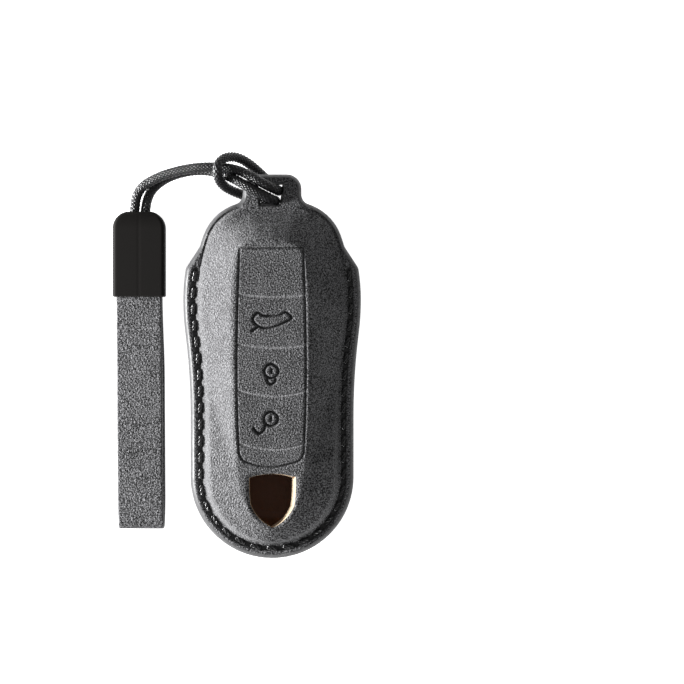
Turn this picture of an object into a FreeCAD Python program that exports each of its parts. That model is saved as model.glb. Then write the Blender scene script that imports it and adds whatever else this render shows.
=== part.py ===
import FreeCAD
import Part
import math
import os
from types import SimpleNamespace

import Sketcher

# A moulded suede cover for a car key fob. Two lined halves meet at a flange and are saddle
# stitched round it. A doubled cord is hitched through the tab and ends in a cap with a folded strap.
# The cover lies on its back: X to the right, Y towards the tab, Z out of the front.
# The origin is on the flat resting face of the back. All lengths are in millimetres.

SIZES = {
    # Plan of the moulded dome
    "dome_below": 43.3,
    "dome_above": 39.0,
    "waist_half": 16.3,
    "waist_below": 12.0,
    "lobe_flare": 1.8,
    "lobe_height": 16.35,
    "lobe_lower_radius": 60.0,
    "lobe_upper_radius": 46.0,
    "dome_corner_radius": 11.0,
    # Flange, mouth and shoulders
    "flange_width": 3.7,
    "mouth_margin": 1.5,
    "seam_drop": 3.75,
    "shoulder_rise": 5.2,
    "shoulder_outer_radius": 2.5,
    "shoulder_inner_radius": 3.0,
    "edge_radius": 0.8,
    # Tab and its window
    "tab_half": 7.2,
    "tab_height": 8.2,
    "tab_corner_radius": 3.6,
    "tab_root_radius": 2.5,
    "tab_window_sill": 0.3,
    "tab_window_height": 5.9,
    "tab_window_top_half": 3.6,
    "tab_window_foot_half": 2.9,
    # Layers and heights
    "suede_thickness": 1.2,
    "lining_thickness": 0.8,
    "parting_height": 9.0,
    "front_rise": 9.0,
    "front_slope_width": 7.4,
    "back_slope_width": 7.0,
    # Embossed button zone
    "button_top": 28.9,
    "button_foot": 23.4,
    "button_top_half": 7.7,
    "button_mid_half": 8.4,
    "button_foot_half": 7.9,
    "button_corner": 3.0,
    "button_sag": 0.9,
    "groove_width": 0.7,
    "groove_depth": 0.4,
    # Shield window
    "shield_top": 26.0,
    "shield_height": 12.9,
    "shield_half": 5.3,
    "shield_arch": 0.9,
    # Saddle stitch
    "seam_offset": 1.25,
    "channel_width": 1.5,
    "channel_depth": 0.35,
    "stitch_pitch": 4.0,
    "thread_diameter": 0.9,
    "thread_bend": 0.6,
    "thread_clearance": 0.08,
    # Lanyard cord, crimp, cap and strap
    "cord_diameter": 2.3,
    "strand_gap": 0.3,
    "cord_clearance": 0.12,
    "crimp_wall": 0.7,
    "crimp_length": 2.6,
    "cap_length": 21.0,
    "cap_roof": 3.0,
    "cap_side_wall": 0.7,
    "cap_face_wall": 0.9,
    "cap_arch_radius": 18.0,
    "cap_corner_radius": 3.0,
    "cap_edge_radius": 1.8,
    "cap_left": 32.9,
    "cap_top": 38.2,
    "strap_width": 11.3,
    "strap_thickness": 1.4,
    "strap_gap": 2.6,
    "strap_length": 57.3,
    "tail_clearance": 3.4,
    "fold_gap": 0.5,
    "strap_clearance": 0.1,
    # One overrun for all cuts
    "overrun": 1.0,
}

# Profile of the moulded wall: how far in from the dome's edge, and how far up, as shares
FRONT_INSET_SHARES = (0.0, 0.07, 0.2, 0.52, 0.82, 1.0)
FRONT_RISE_SHARES = (0.0, 0.2, 0.42, 0.74, 0.94, 1.0)
BACK_INSET_SHARES = (0.0, 0.1, 0.3, 0.68, 1.0)
BACK_RISE_SHARES = (0.0, 0.32, 0.64, 0.93, 1.0)

# Lines between the button pads: shares of the zone's height, and of the zone's own sag
DIVIDER_SHARES = ((0.78, 0.55), (0.55, 0.82), (0.335, 1.36), (0.09, 1.5))

# The shield: shares of its height down, and of its half width out
SHIELD_SIDE_SHARES = ((0.11, 1.0), (0.52, 0.93), (0.8, 0.56), (1.0, 0.0))

# Route of the cord: out of the cap, through the tab's window, round its corner and back
CORD_ROUTE = [
    (-34.2, 32.4, 3.7),
    (-34.2, 38.7, 3.7),
    (-33.1, 43.8, 4.8),
    (-28.4, 46.6, 7.0),
    (-22.6, 48.3, 8.9),
    (-17.2, 49.0, 10.3),
    (-12.8, 48.9, 10.9),
    (-9.0, 48.4, 11.6),
    (-5.6, 47.3, 12.5),
    (-2.4, 45.6, 12.9),
    (0.6, 44.0, 12.3),
    (1.9, 43.2, 9.4),
    (1.0, 43.8, 5.8),
    (-1.2, 45.9, 4.9),
    (-3.6, 48.2, 5.3),
    (-6.0, 50.2, 7.0),
    (-8.6, 51.5, 9.2),
    (-11.3, 51.4, 11.8),
    (-13.1, 49.8, 13.9),
    (-13.4, 47.3, 14.2),
    (-12.7, 45.2, 12.0),
    (-11.3, 43.9, 8.7),
    (-9.0, 42.9, 5.6),
    (-5.8, 41.8, 4.9),
    (-2.6, 40.9, 4.9),
    (-0.2, 40.6, 6.0),
    (0.6, 40.65, 9.2),
    (-0.4, 41.0, 12.2),
    (-3.0, 42.3, 12.9),
    (-5.9, 44.0, 13.0),
    (-9.4, 46.1, 11.8),
    (-12.9, 47.6, 8.5),
    (-17.0, 48.4, 7.2),
    (-22.0, 48.0, 5.3),
    (-26.8, 46.3, 4.0),
    (-30.3, 43.3, 3.6),
    (-31.6, 38.7, 3.7),
    (-31.6, 32.4, 3.7),
]
# Share of the shorter run that each bend of the cord takes up
BEND_SHARE = 0.45

UP = FreeCAD.Vector(0, 0, 1)


# Spreadsheet of driving sizes

doc = FreeCAD.newDocument("key_fob_cover")
sheet = doc.addObject("Spreadsheet::Sheet", "sizes")
for row, (alias, value) in enumerate(SIZES.items(), start=1):
    sheet.set(f"A{row}", alias)
    sheet.set(f"B{row}", str(value))
    sheet.setAlias(f"B{row}", alias)
doc.recompute()
d = SimpleNamespace(**{alias: float(sheet.get(alias)) for alias in SIZES})


# Plan of the cover: a chain of tangent arcs, worked out once from the sheet

base_y = d.waist_half - d.dome_below
lobe_half = d.waist_half + d.lobe_flare
flare_run = d.lobe_height + d.waist_below
flare_radii = (flare_run**2 + d.lobe_flare**2) / (2 * d.lobe_flare)
waist_radius = flare_radii - d.lobe_lower_radius
flare_angle = math.asin(flare_run / flare_radii)
corner_reach = d.lobe_upper_radius - d.dome_corner_radius
corner_angle = math.asin((d.dome_above - d.dome_corner_radius - d.lobe_height) / corner_reach)
lobe_centre_x = lobe_half - d.lobe_upper_radius
corner_x = lobe_centre_x + corner_reach * math.cos(corner_angle)
corner_y = d.dome_above - d.dome_corner_radius
seam_end_y = corner_y - d.seam_drop
tab_top_y = d.dome_above + d.tab_height
flange_layers = d.suede_thickness + d.lining_thickness
flange_top = d.parting_height + flange_layers
flange_foot = d.parting_height - flange_layers


def point(x, y, z=0.0):
    return FreeCAD.Vector(x, y, z)


def arc(centre_x, centre_y, radius, start, end):
    return Part.ArcOfCircle(Part.Circle(point(centre_x, centre_y), UP, radius), start, end)


def line(start, end):
    return Part.LineSegment(point(*start), point(*end))


def arc_through(start, middle, end):
    """The arc through three places, turned so that it runs the same way as every other arc."""
    circle = Part.Circle(point(*start), point(*middle), point(*end))
    centre = circle.Center
    angles = [math.atan2(y - centre.y, x - centre.x) for x, y in (start, middle, end)]
    full = 2 * math.pi
    if (angles[1] - angles[0]) % full > (angles[2] - angles[0]) % full:
        angles.reverse()
    sweep = (angles[2] - angles[0]) % full
    return arc(centre.x, centre.y, circle.Radius, angles[0], angles[0] + sweep)


def mirrored(curves):
    """The same curves on the other side of the cover's middle line."""
    flipped = []
    for curve in curves:
        if isinstance(curve, Part.LineSegment):
            ends = curve.EndPoint, curve.StartPoint
            flipped.append(line((-ends[0].x, ends[0].y), (-ends[1].x, ends[1].y)))
        else:
            start, end = math.pi - curve.LastParameter, math.pi - curve.FirstParameter
            flipped.append(arc(-curve.Center.x, curve.Center.y, curve.Radius, start, end))
    return flipped


def lobe_angle(y, grow):
    """Angle on the upper lobe, grown by an offset, at which it reaches a height."""
    return math.asin((y - d.lobe_height) / (d.lobe_upper_radius + grow))


def lower_half(grow, lobe_end):
    """Right side of the plan from the foot up to an angle on the upper lobe."""
    side = d.waist_half + grow
    lower_centre_x = lobe_half - d.lobe_lower_radius
    return [
        arc(0, base_y, side, -math.pi / 2, 0),
        line((side, base_y), (side, -d.waist_below)),
        arc(
            d.waist_half + waist_radius,
            -d.waist_below,
            waist_radius - grow,
            math.pi - flare_angle,
            math.pi,
        ),
        arc(lower_centre_x, d.lobe_height, d.lobe_lower_radius + grow, -flare_angle, 0),
        arc(lobe_centre_x, d.lobe_height, d.lobe_upper_radius + grow, 0, lobe_end),
    ]


def dome_plan(inset):
    """Closed plan of the moulded dome, drawn in by an inset."""
    half = lower_half(-inset, corner_angle)
    half.append(arc(corner_x, corner_y, d.dome_corner_radius - inset, corner_angle, math.pi / 2))
    top = d.dome_above - inset
    return half + [line((corner_x, top), (-corner_x, top))] + mirrored(half)


def flange_plan():
    """Closed plan of the flange: wide where it is stitched, narrow round the mouth, with the tab."""
    low_angle = lobe_angle(seam_end_y, d.flange_width)
    high_angle = lobe_angle(seam_end_y + d.shoulder_rise, d.mouth_margin)
    tab_angle = math.acos((d.tab_half - corner_x) / (d.dome_corner_radius + d.mouth_margin))
    half = lower_half(d.flange_width, low_angle)
    mouth = arc(
        lobe_centre_x, d.lobe_height, d.lobe_upper_radius + d.mouth_margin, high_angle, corner_angle
    )
    corner = arc(
        corner_x, corner_y, d.dome_corner_radius + d.mouth_margin, corner_angle, tab_angle
    )
    low, high = half[-1].EndPoint, mouth.StartPoint
    root = corner.EndPoint
    half.append(line((low.x, low.y), (high.x, high.y)))
    half += [mouth, corner, line((root.x, root.y), (d.tab_half, tab_top_y))]
    top = line((d.tab_half, tab_top_y), (-d.tab_half, tab_top_y))
    corners = {
        "shoulder_outer_radius": low,
        "shoulder_inner_radius": high,
        "tab_root_radius": root,
        "tab_corner_radius": point(d.tab_half, tab_top_y),
    }
    return half + [top] + mirrored(half), corners


def polygon(points):
    return [line(start, end) for start, end in zip(points, points[1:] + points[:1])]


def tab_window_plan():
    sill = d.dome_above + d.tab_window_sill
    head = sill + d.tab_window_height
    foot, top = d.tab_window_foot_half, d.tab_window_top_half
    return polygon([(-foot, sill), (foot, sill), (top, head), (-top, head)])


def shield_plan():
    """A plain shield: an arched top and curved sides that meet in a point."""
    side = [
        (d.shield_half * out, -d.shield_top - d.shield_height * down)
        for down, out in SHIELD_SIDE_SHARES
    ]
    upper, middle, lower, tip = side
    half = [line(upper, middle), arc_through(middle, lower, tip)]
    crown = arc_through(upper, (0, -d.shield_top), (-upper[0], upper[1]))
    return half + [crown] + mirrored(half)


def button_plan(grow):
    """Plan of the embossed zone over the buttons, grown by half a groove either way."""
    top, foot = d.button_top + grow, -d.button_foot - grow
    shoulder = (d.button_top_half + grow, top)
    hip = (d.button_foot_half + grow, foot + d.button_corner)
    heel = (d.button_foot_half + grow - d.button_corner, foot)
    lean = d.button_corner * (1 - math.sqrt(2) / 2)
    bend = (hip[0] - lean, foot + lean)
    middle_y = (top + foot) / 2
    half = [
        arc_through(shoulder, (d.button_mid_half + grow, middle_y), hip),
        arc_through(hip, bend, heel),
    ]
    sole = arc_through(heel, (0, foot - d.button_sag), (-heel[0], heel[1]))
    return half + mirrored(half) + [line(shoulder, (-shoulder[0], top)), sole]


def divider_plans():
    """The curved lines between the button pads, each a thin crescent strip."""
    strips = []
    half = d.groove_width / 2
    reach = d.button_foot_half
    for height_share, sag_share in DIVIDER_SHARES:
        y = -d.button_foot + height_share * (d.button_top + d.button_foot)
        dip = y - sag_share * d.button_sag
        upper = arc_through((-reach, y + half), (0, dip + half), (reach, y + half))
        lower = arc_through((-reach, y - half), (0, dip - half), (reach, y - half))
        ends = [line((side, y - half), (side, y + half)) for side in (-reach, reach)]
        strips += [upper, lower] + ends
    return strips


def seam_curves(offset):
    """The seam line from shoulder to shoulder at an offset outside the dome."""
    half = lower_half(offset, lobe_angle(seam_end_y, offset))
    return half, mirrored(half)


def seam_holes():
    """Places of the stitch holes, evenly spaced along the seam."""
    right, left = seam_curves(d.seam_offset)
    ordered = [curve.toShape() for curve in reversed(left)] + [curve.toShape() for curve in right]
    wire = Part.Wire(Part.__sortEdges__(ordered))
    count = max(2, round(wire.Length / d.stitch_pitch))
    return wire.discretize(Number=count + 1)


def channel_plan():
    """The pressed channel that the stitches lie in, closed at both shoulders."""
    half_width = d.channel_width / 2
    outer_right, outer_left = seam_curves(d.seam_offset + half_width)
    inner_right, inner_left = seam_curves(d.seam_offset - half_width)
    curves = outer_right + outer_left + inner_right + inner_left
    for outer, inner in ((outer_right, inner_right), (outer_left, inner_left)):
        end = "EndPoint" if outer is outer_right else "StartPoint"
        start, stop = getattr(outer[-1], end), getattr(inner[-1], end)
        curves.append(line((start.x, start.y), (stop.x, stop.y)))
    return curves


def slot_plan(centre, along):
    """Outline of one stitch hole, long enough for the two legs that share it."""
    radius = d.thread_diameter / 2 + d.thread_clearance
    half = d.thread_diameter / 2
    turn = math.atan2(along.y, along.x)
    side = point(-math.sin(turn), math.cos(turn)) * radius
    first, second = centre - along * half, centre + along * half
    quarter = math.pi / 2
    return [
        arc(second.x, second.y, radius, turn - quarter, turn + quarter),
        arc(first.x, first.y, radius, turn + quarter, turn + 3 * quarter),
        Part.LineSegment(first + side, second + side),
        Part.LineSegment(first - side, second - side),
    ]


def hole_plans(holes):
    curves = []
    for index, centre in enumerate(holes):
        before, after = holes[max(index - 1, 0)], holes[min(index + 1, len(holes) - 1)]
        along = after - before
        along.normalize()
        curves += slot_plan(centre, along)
    return curves


# Features shared by the bodies


def new_body(label):
    body = doc.addObject("PartDesign::Body", label)
    body.Label = label
    return body


def new_sketch(body, name, curves, plane="XY_Plane", height="0"):
    sketch = body.newObject("Sketcher::SketchObject", f"{body.Name}_{name}")
    support = next(face for face in body.Origin.OriginFeatures if face.Role == plane)
    sketch.AttachmentSupport = (support, [""])
    sketch.MapMode = "FlatFace"
    sketch.setExpression("AttachmentOffset.Base.z", height)
    sketch.addGeometry(curves, False)
    return sketch


def add_pad(body, sketch, length):
    pad = body.newObject("PartDesign::Pad", f"{sketch.Name}_pad")
    pad.Profile = sketch
    pad.setExpression("Length", length)
    return pad


def cut_depth(body, sketch, depth, reverse=False):
    pocket = body.newObject("PartDesign::Pocket", f"{sketch.Name}_cut")
    pocket.Profile = sketch
    pocket.Reversed = reverse
    pocket.setExpression("Length", depth)
    return pocket


def add_fillet(body, base, chosen, radius):
    """Round the edges of a feature that a test picks out."""
    doc.recompute()
    names = [
        f"Edge{number}" for number, edge in enumerate(base.Shape.Edges, start=1) if chosen(edge)
    ]
    fillet = body.newObject("PartDesign::Fillet", f"{body.Name}_{radius}")
    fillet.Base = (base, names)
    fillet.setExpression("Radius", f"sizes.{radius}")
    doc.recompute()
    return fillet


def upright_at(place):
    """Test for the upright edges above a place in plan, on either side of the middle line."""

    def chosen(edge):
        ends = [vertex.Point for vertex in edge.Vertexes]
        if len(ends) != 2 or ends[0].z == ends[1].z:
            return False
        flat = [point(abs(end.x), end.y) for end in ends]
        return all(end.isEqual(point(place.x, place.y), d.edge_radius / 2) for end in flat)

    return chosen


def level_at(height):
    """Test for edges that lie at one height."""

    def chosen(edge):
        return all(abs(vertex.Z - height) < d.edge_radius / 2 for vertex in edge.Vertexes)

    return chosen


# Moulded halves of the cover


def wall_profile(insets, rises, width, rise):
    return [(width * inset, rise * up) for inset, up in zip(insets, rises)]


def inner_profile(profile, depth):
    """The wall's profile, a depth further in, from the flange's underside to the crown."""
    sides = []
    for (x0, y0), (x1, y1) in zip(profile, profile[1:]):
        run, up = x1 - x0, y1 - y0
        shift = depth / math.hypot(run, up)
        sides.append((x0 + shift * up, y0 - shift * run, run, up))
    x, y, run, up = sides[0]
    inner = [(x + (-depth - y) * run / up, -depth)]
    for (x0, y0, run0, up0), (x1, y1, run1, up1) in zip(sides, sides[1:]):
        along = ((x1 - x0) * up1 - (y1 - y0) * run1) / (run0 * up1 - up0 * run1)
        inner.append((x0 + along * run0, y0 + along * up0))
    x, y, run, up = sides[-1]
    crown = profile[-1][1] - depth
    inner.append((x + (crown - y) * run / up, crown))
    return inner


# Heights of the flange's two faces and of the crown, as the sheet works them out
FLANGE_TOP = "sizes.parting_height + sizes.suede_thickness + sizes.lining_thickness"
FLANGE_FOOT = "sizes.parting_height - sizes.suede_thickness - sizes.lining_thickness"
CROWN = f"{FLANGE_TOP} + sizes.front_rise"

FRONT_WALL = wall_profile(FRONT_INSET_SHARES, FRONT_RISE_SHARES, d.front_slope_width, d.front_rise)
BACK_WALL = wall_profile(BACK_INSET_SHARES, BACK_RISE_SHARES, d.back_slope_width, flange_foot)


def add_loft(body, kind, name, sections):
    """A ruled loft through plans of the dome, each given as an inset and a height."""
    sketches = [
        new_sketch(body, f"{name}_{number}", dome_plan(inset), height=str(height))
        for number, (inset, height) in enumerate(sections)
    ]
    loft = body.newObject(f"PartDesign::{kind}Loft", f"{body.Name}_{name}")
    loft.Profile = sketches[0]
    loft.Sections = sketches[1:]
    loft.Ruled = True
    return loft


def moulded_layer(label, front, outside, foot, holes):
    """One layer of a half: a flange plate with a hollow dome, its windows and its stitch holes."""
    body = new_body(label)
    wall, face, sign = (FRONT_WALL, flange_top, 1) if front else (BACK_WALL, flange_foot, -1)
    layer = "suede_thickness" if outside else "lining_thickness"
    plan, corners = flange_plan()
    plate = add_pad(body, new_sketch(body, "flange", plan, height=foot), f"sizes.{layer}")
    for radius, place in corners.items():
        plate = add_fillet(body, plate, upright_at(place), radius)
    if outside:
        add_fillet(body, plate, level_at(face), "edge_radius")
    for name, curves in (("holes", hole_plans(holes)), ("tab_window", tab_window_plan())):
        below = new_sketch(body, name, curves, height=f"{foot} - sizes.overrun")
        cut_depth(body, below, f"sizes.{layer} + 2 * sizes.overrun", reverse=True)
    if outside:
        channel_face = FLANGE_TOP if front else FLANGE_FOOT
        channel = new_sketch(body, "channel", channel_plan(), height=channel_face)
        cut_depth(body, channel, "sizes.channel_depth", reverse=not front)

    outer_depth = 0 if outside else d.suede_thickness
    inner_depth = outer_depth + getattr(d, layer)
    outer = wall if outside else inner_profile(wall, outer_depth)
    inner = inner_profile(wall, inner_depth)
    root = (outer[0][0], face - sign * inner_depth)
    add_loft(body, "Additive", "dome", [root] + [(x, face + sign * up) for x, up in outer])
    mouth = (inner[0][0], face - sign * (inner_depth + d.overrun))
    add_loft(body, "Subtractive", "hollow", [mouth] + [(x, face + sign * up) for x, up in inner])
    if front:
        shield = new_sketch(body, "shield", shield_plan(), height="sizes.parting_height")
        cut_depth(body, shield, CROWN, reverse=True)
    return body


def front_panel(holes):
    body = moulded_layer("front_panel", True, True, f"{FLANGE_TOP} - sizes.suede_thickness", holes)
    half = d.groove_width / 2
    ring = new_sketch(body, "buttons", button_plan(half) + button_plan(-half), height=CROWN)
    cut_depth(body, ring, "sizes.groove_depth")
    lines = new_sketch(body, "dividers", divider_plans(), height=CROWN)
    cut_depth(body, lines, "sizes.groove_depth")
    return body


def front_lining(holes):
    return moulded_layer("front_lining", True, False, "sizes.parting_height", holes)


def back_panel(holes):
    return moulded_layer("back_panel", False, True, FLANGE_FOOT, holes)


def back_lining(holes):
    foot = f"{FLANGE_FOOT} + sizes.suede_thickness"
    return moulded_layer("back_lining", False, False, foot, holes)


# Thread and cord: round tubes along paths of lines and arcs


def bent_path(points, bends):
    """Edges along a run of points, with an arc at each inner point that takes up a set length."""
    edges = []
    radii = []
    start = points[0]
    for before, corner, after, bend in zip(points, points[1:], points[2:], bends):
        coming = (corner - before).normalize()
        leaving = (after - corner).normalize()
        turn = coming.getAngle(leaving)
        enter, leave = corner - coming * bend, corner + leaving * bend
        radius = bend / math.tan(turn / 2)
        inward = (leaving - coming).normalize()
        middle = corner + inward * (radius / math.cos(turn / 2) - radius)
        edges.append(Part.LineSegment(start, enter).toShape())
        edges.append(Part.Arc(enter, middle, leave).toShape())
        radii.append(radius)
        start = leave
    edges.append(Part.LineSegment(start, points[-1]).toShape())
    return Part.Wire(edges), radii


def tube(path, diameter):
    """A round solid swept along a path, with its volume set against section times length."""
    first = path.Edges[0]
    heading = first.tangentAt(first.FirstParameter)
    section = Part.Wire(Part.makeCircle(diameter / 2, first.valueAt(first.FirstParameter), heading))
    shell = Part.BRepOffsetAPI.MakePipeShell(path)
    shell.add(section)
    shell.build()
    shell.makeSolid()
    solid = shell.shape()
    expected = math.pi * diameter**2 / 4 * path.Length
    return solid, solid.Volume / expected


def stitch_row(label, holes, front):
    """One side of the saddle stitch: a staple of thread from each hole to the next."""
    sign = 1 if front else -1
    face = flange_top if front else flange_foot
    lie = face - sign * (d.channel_depth - d.thread_diameter / 2)
    staples = []
    for start, end in zip(holes, holes[1:]):
        along = (end - start).normalize() * (d.thread_diameter / 2)
        near, far = start + along, end - along
        points = [
            point(near.x, near.y, d.parting_height),
            point(near.x, near.y, lie),
            point(far.x, far.y, lie),
            point(far.x, far.y, d.parting_height),
        ]
        path, _ = bent_path(points, [d.thread_bend] * 2)
        staples.append(tube(path, d.thread_diameter)[0])
    feature = doc.addObject("Part::Feature", label)
    feature.Label = label
    feature.Shape = Part.makeCompound(staples)
    return feature


def lanyard_cord():
    points = [point(*place) for place in CORD_ROUTE]
    runs = [(end - start).Length for start, end in zip(points, points[1:])]
    bends = [BEND_SHARE * min(pair) for pair in zip(runs, runs[1:])]
    path, radii = bent_path(points, bends)
    solid, share = tube(path, d.cord_diameter)
    print(f"cord length {path.Length:.1f}, volume share {share:.4f}")
    print("cord radii", [round(radius, 1) for radius in radii])
    feature = doc.addObject("Part::Feature", "lanyard_cord")
    feature.Label = "lanyard_cord"
    feature.Shape = solid
    return feature


# Cap, crimp and strap at the end of the lanyard


def slot_sketch(body, name, width, thickness, height):
    """A slot across the lanyard, its width and thickness bound to the sheet."""
    half = 1.0
    curves = [
        line((-half, half), (half, half)),
        arc(half, 0, half, -math.pi / 2, math.pi / 2),
        line((-half, -half), (half, -half)),
        arc(-half, 0, half, math.pi / 2, 3 * math.pi / 2),
    ]
    sketch = new_sketch(body, name, curves, plane="XZ_Plane", height=height)
    sketch.addConstraint(
        [
            Sketcher.Constraint("Tangent", 0, 2, 1, 2),
            Sketcher.Constraint("Tangent", 1, 1, 2, 2),
            Sketcher.Constraint("Tangent", 2, 1, 3, 2),
            Sketcher.Constraint("Tangent", 3, 1, 0, 1),
            Sketcher.Constraint("Equal", 1, 3),
            Sketcher.Constraint("Symmetric", 1, 3, 3, 3, -1, 1),
            Sketcher.Constraint("PointOnObject", 1, 3, -1),
        ]
    )
    radius = sketch.addConstraint(Sketcher.Constraint("Radius", 1, half))
    spread = sketch.addConstraint(Sketcher.Constraint("DistanceX", 3, 3, 1, 3, 2 * half))
    sketch.setExpression(f"Constraints[{radius}]", f"({thickness}) / 2")
    sketch.setExpression(f"Constraints[{spread}]", f"({width}) - ({thickness})")
    return sketch


CAP_DEPTH = (
    "2 * sizes.strap_thickness + sizes.strap_gap"
    " + 2 * sizes.strap_clearance + 2 * sizes.cap_face_wall"
)
PAIR_WIDTH = "2 * sizes.cord_diameter + sizes.strand_gap + 2 * sizes.cord_clearance"
PAIR_DEPTH = "sizes.cord_diameter + 2 * sizes.cord_clearance"


def hang_on_lanyard(body):
    """Set a body's own origin at the middle of the cap's top, with the cap on the table."""
    body.setExpression("Placement.Base.x", "-sizes.cap_left")
    body.setExpression("Placement.Base.y", "sizes.cap_top")
    body.setExpression("Placement.Base.z", f"({CAP_DEPTH}) / 2")


def cap_plan():
    """Front view of the cap: straight sides, rounded corners and a gently arched top."""
    half = d.strap_width / 2 + d.strap_clearance + d.cap_side_wall
    reach = d.cap_arch_radius - d.cap_corner_radius
    lean = math.asin((half - d.cap_corner_radius) / reach)
    corner_height = reach * math.cos(lean) - d.cap_arch_radius
    upright = math.pi / 2
    right = [
        line((half, -d.cap_length), (half, corner_height)),
        arc(half - d.cap_corner_radius, corner_height, d.cap_corner_radius, 0, upright - lean),
    ]
    crown = arc(0, -d.cap_arch_radius, d.cap_arch_radius, upright - lean, upright + lean)
    foot = line((-half, -d.cap_length), (half, -d.cap_length))
    return right + [crown, foot] + mirrored(right)


def cavity_plan():
    half_width = d.strap_width / 2 + d.strap_clearance
    half_depth = d.strap_thickness + d.strap_gap / 2 + d.strap_clearance
    return polygon(
        [
            (-half_width, -half_depth),
            (half_width, -half_depth),
            (half_width, half_depth),
            (-half_width, half_depth),
        ]
    )


def cap_rim(edge):
    """Test for the edges round the cap's two faces, without its open foot."""
    ends = [vertex.Point for vertex in edge.Vertexes]
    level = abs(ends[0].z - ends[-1].z) < d.strap_clearance
    return level and any(end.y > d.strap_clearance - d.cap_length for end in ends)


def strap_cap():
    body = new_body("strap_cap")
    hang_on_lanyard(body)
    block = add_pad(body, new_sketch(body, "outside", cap_plan()), CAP_DEPTH)
    block.SideType = "Symmetric"
    add_fillet(body, block, cap_rim, "cap_edge_radius")
    cavity = new_sketch(body, "cavity", cavity_plan(), plane="XZ_Plane", height="sizes.cap_length")
    cut_depth(body, cavity, "sizes.cap_length - sizes.cap_roof")
    cord_slot = slot_sketch(body, "cord_slot", PAIR_WIDTH, PAIR_DEPTH, "-sizes.overrun")
    cut_depth(body, cord_slot, "sizes.cap_roof + 2 * sizes.overrun", reverse=True)
    return body


def cord_crimp():
    body = new_body("cord_crimp")
    hang_on_lanyard(body)
    outside = slot_sketch(
        body,
        "outside",
        f"{PAIR_WIDTH} + 2 * sizes.crimp_wall",
        f"{PAIR_DEPTH} + 2 * sizes.crimp_wall",
        "sizes.cap_roof",
    )
    add_pad(body, outside, "sizes.crimp_length")
    bore = slot_sketch(body, "bore", PAIR_WIDTH, PAIR_DEPTH, "0")
    cut_depth(body, bore, "sizes.cap_roof + sizes.crimp_length + sizes.overrun", reverse=True)
    return body


def strap_plan():
    """Side view of the folded strap: two tails in the cap, and layers that close to the fold."""
    half_gap, sheet_depth = d.strap_gap / 2, d.strap_thickness
    outer = half_gap + sheet_depth
    mouth = -d.cap_length
    tail = -(d.cap_roof + d.crimp_length + d.tail_clearance)
    table = -(outer + d.strap_clearance + d.cap_face_wall)
    fold_inner = d.fold_gap / 2
    fold_outer = fold_inner + sheet_depth
    fold_y = mouth - d.strap_length + fold_outer
    fold_z = table + fold_outer
    return [
        line((tail, outer), (mouth, outer)),
        line((mouth, outer), (fold_y, fold_z + fold_outer)),
        arc(fold_y, fold_z, fold_outer, math.pi / 2, 3 * math.pi / 2),
        line((fold_y, fold_z - fold_outer), (mouth, -outer)),
        line((mouth, -outer), (tail, -outer)),
        line((tail, -outer), (tail, -half_gap)),
        line((tail, -half_gap), (mouth, -half_gap)),
        line((mouth, -half_gap), (fold_y, fold_z - fold_inner)),
        arc(fold_y, fold_z, fold_inner, math.pi / 2, 3 * math.pi / 2),
        line((fold_y, fold_z + fold_inner), (mouth, half_gap)),
        line((mouth, half_gap), (tail, half_gap)),
        line((tail, half_gap), (tail, outer)),
    ]


def wrist_strap():
    body = new_body("wrist_strap")
    hang_on_lanyard(body)
    side = new_sketch(body, "side", strap_plan(), plane="YZ_Plane")
    pad = add_pad(body, side, "sizes.strap_width")
    pad.SideType = "Symmetric"
    return body


def check(nodes):
    """Stop unless every object is sound and every piece has a valid shape."""
    doc.recompute()
    for item in doc.Objects:
        if "Invalid" in item.State or "Error" in item.State:
            raise RuntimeError(f"{item.Label} failed: {item.State}")
    for node in nodes:
        shape = node.Shape
        if shape.isNull() or not shape.isValid() or not shape.Solids:
            raise RuntimeError(f"{node.Label} has no valid shape")
        print(f"{node.Label}: {len(shape.Solids)} solids, {shape.Volume:.1f} mm3")


def main():
    holes = seam_holes()
    nodes = [
        front_panel(holes),
        front_lining(holes),
        back_panel(holes),
        back_lining(holes),
        stitch_row("front_stitches", holes, True),
        stitch_row("back_stitches", holes, False),
        lanyard_cord(),
        strap_cap(),
        cord_crimp(),
        wrist_strap(),
    ]
    check(nodes)
    os.makedirs("parts", exist_ok=True)
    for node in nodes:
        node.Shape.exportStep(os.path.join("parts", f"{node.Label}.step"))


main()
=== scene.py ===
# %% [markdown]
# # A suede key fob cover with a wrist lanyard
# The cover is two moulded leather shells, lined inside and stitched together round a flange. A
# braided cord is hitched through the tab at its top and ends in a plastic cap with a folded suede
# strap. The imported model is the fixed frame: every piece is built around it, so that it fits and
# moves as the solids do. Sizes in this script are millimetres, and MM turns them into metres.

import math
from types import SimpleNamespace

import bmesh
import bpy
import numpy as np
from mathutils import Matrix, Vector, geometry, kdtree


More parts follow.
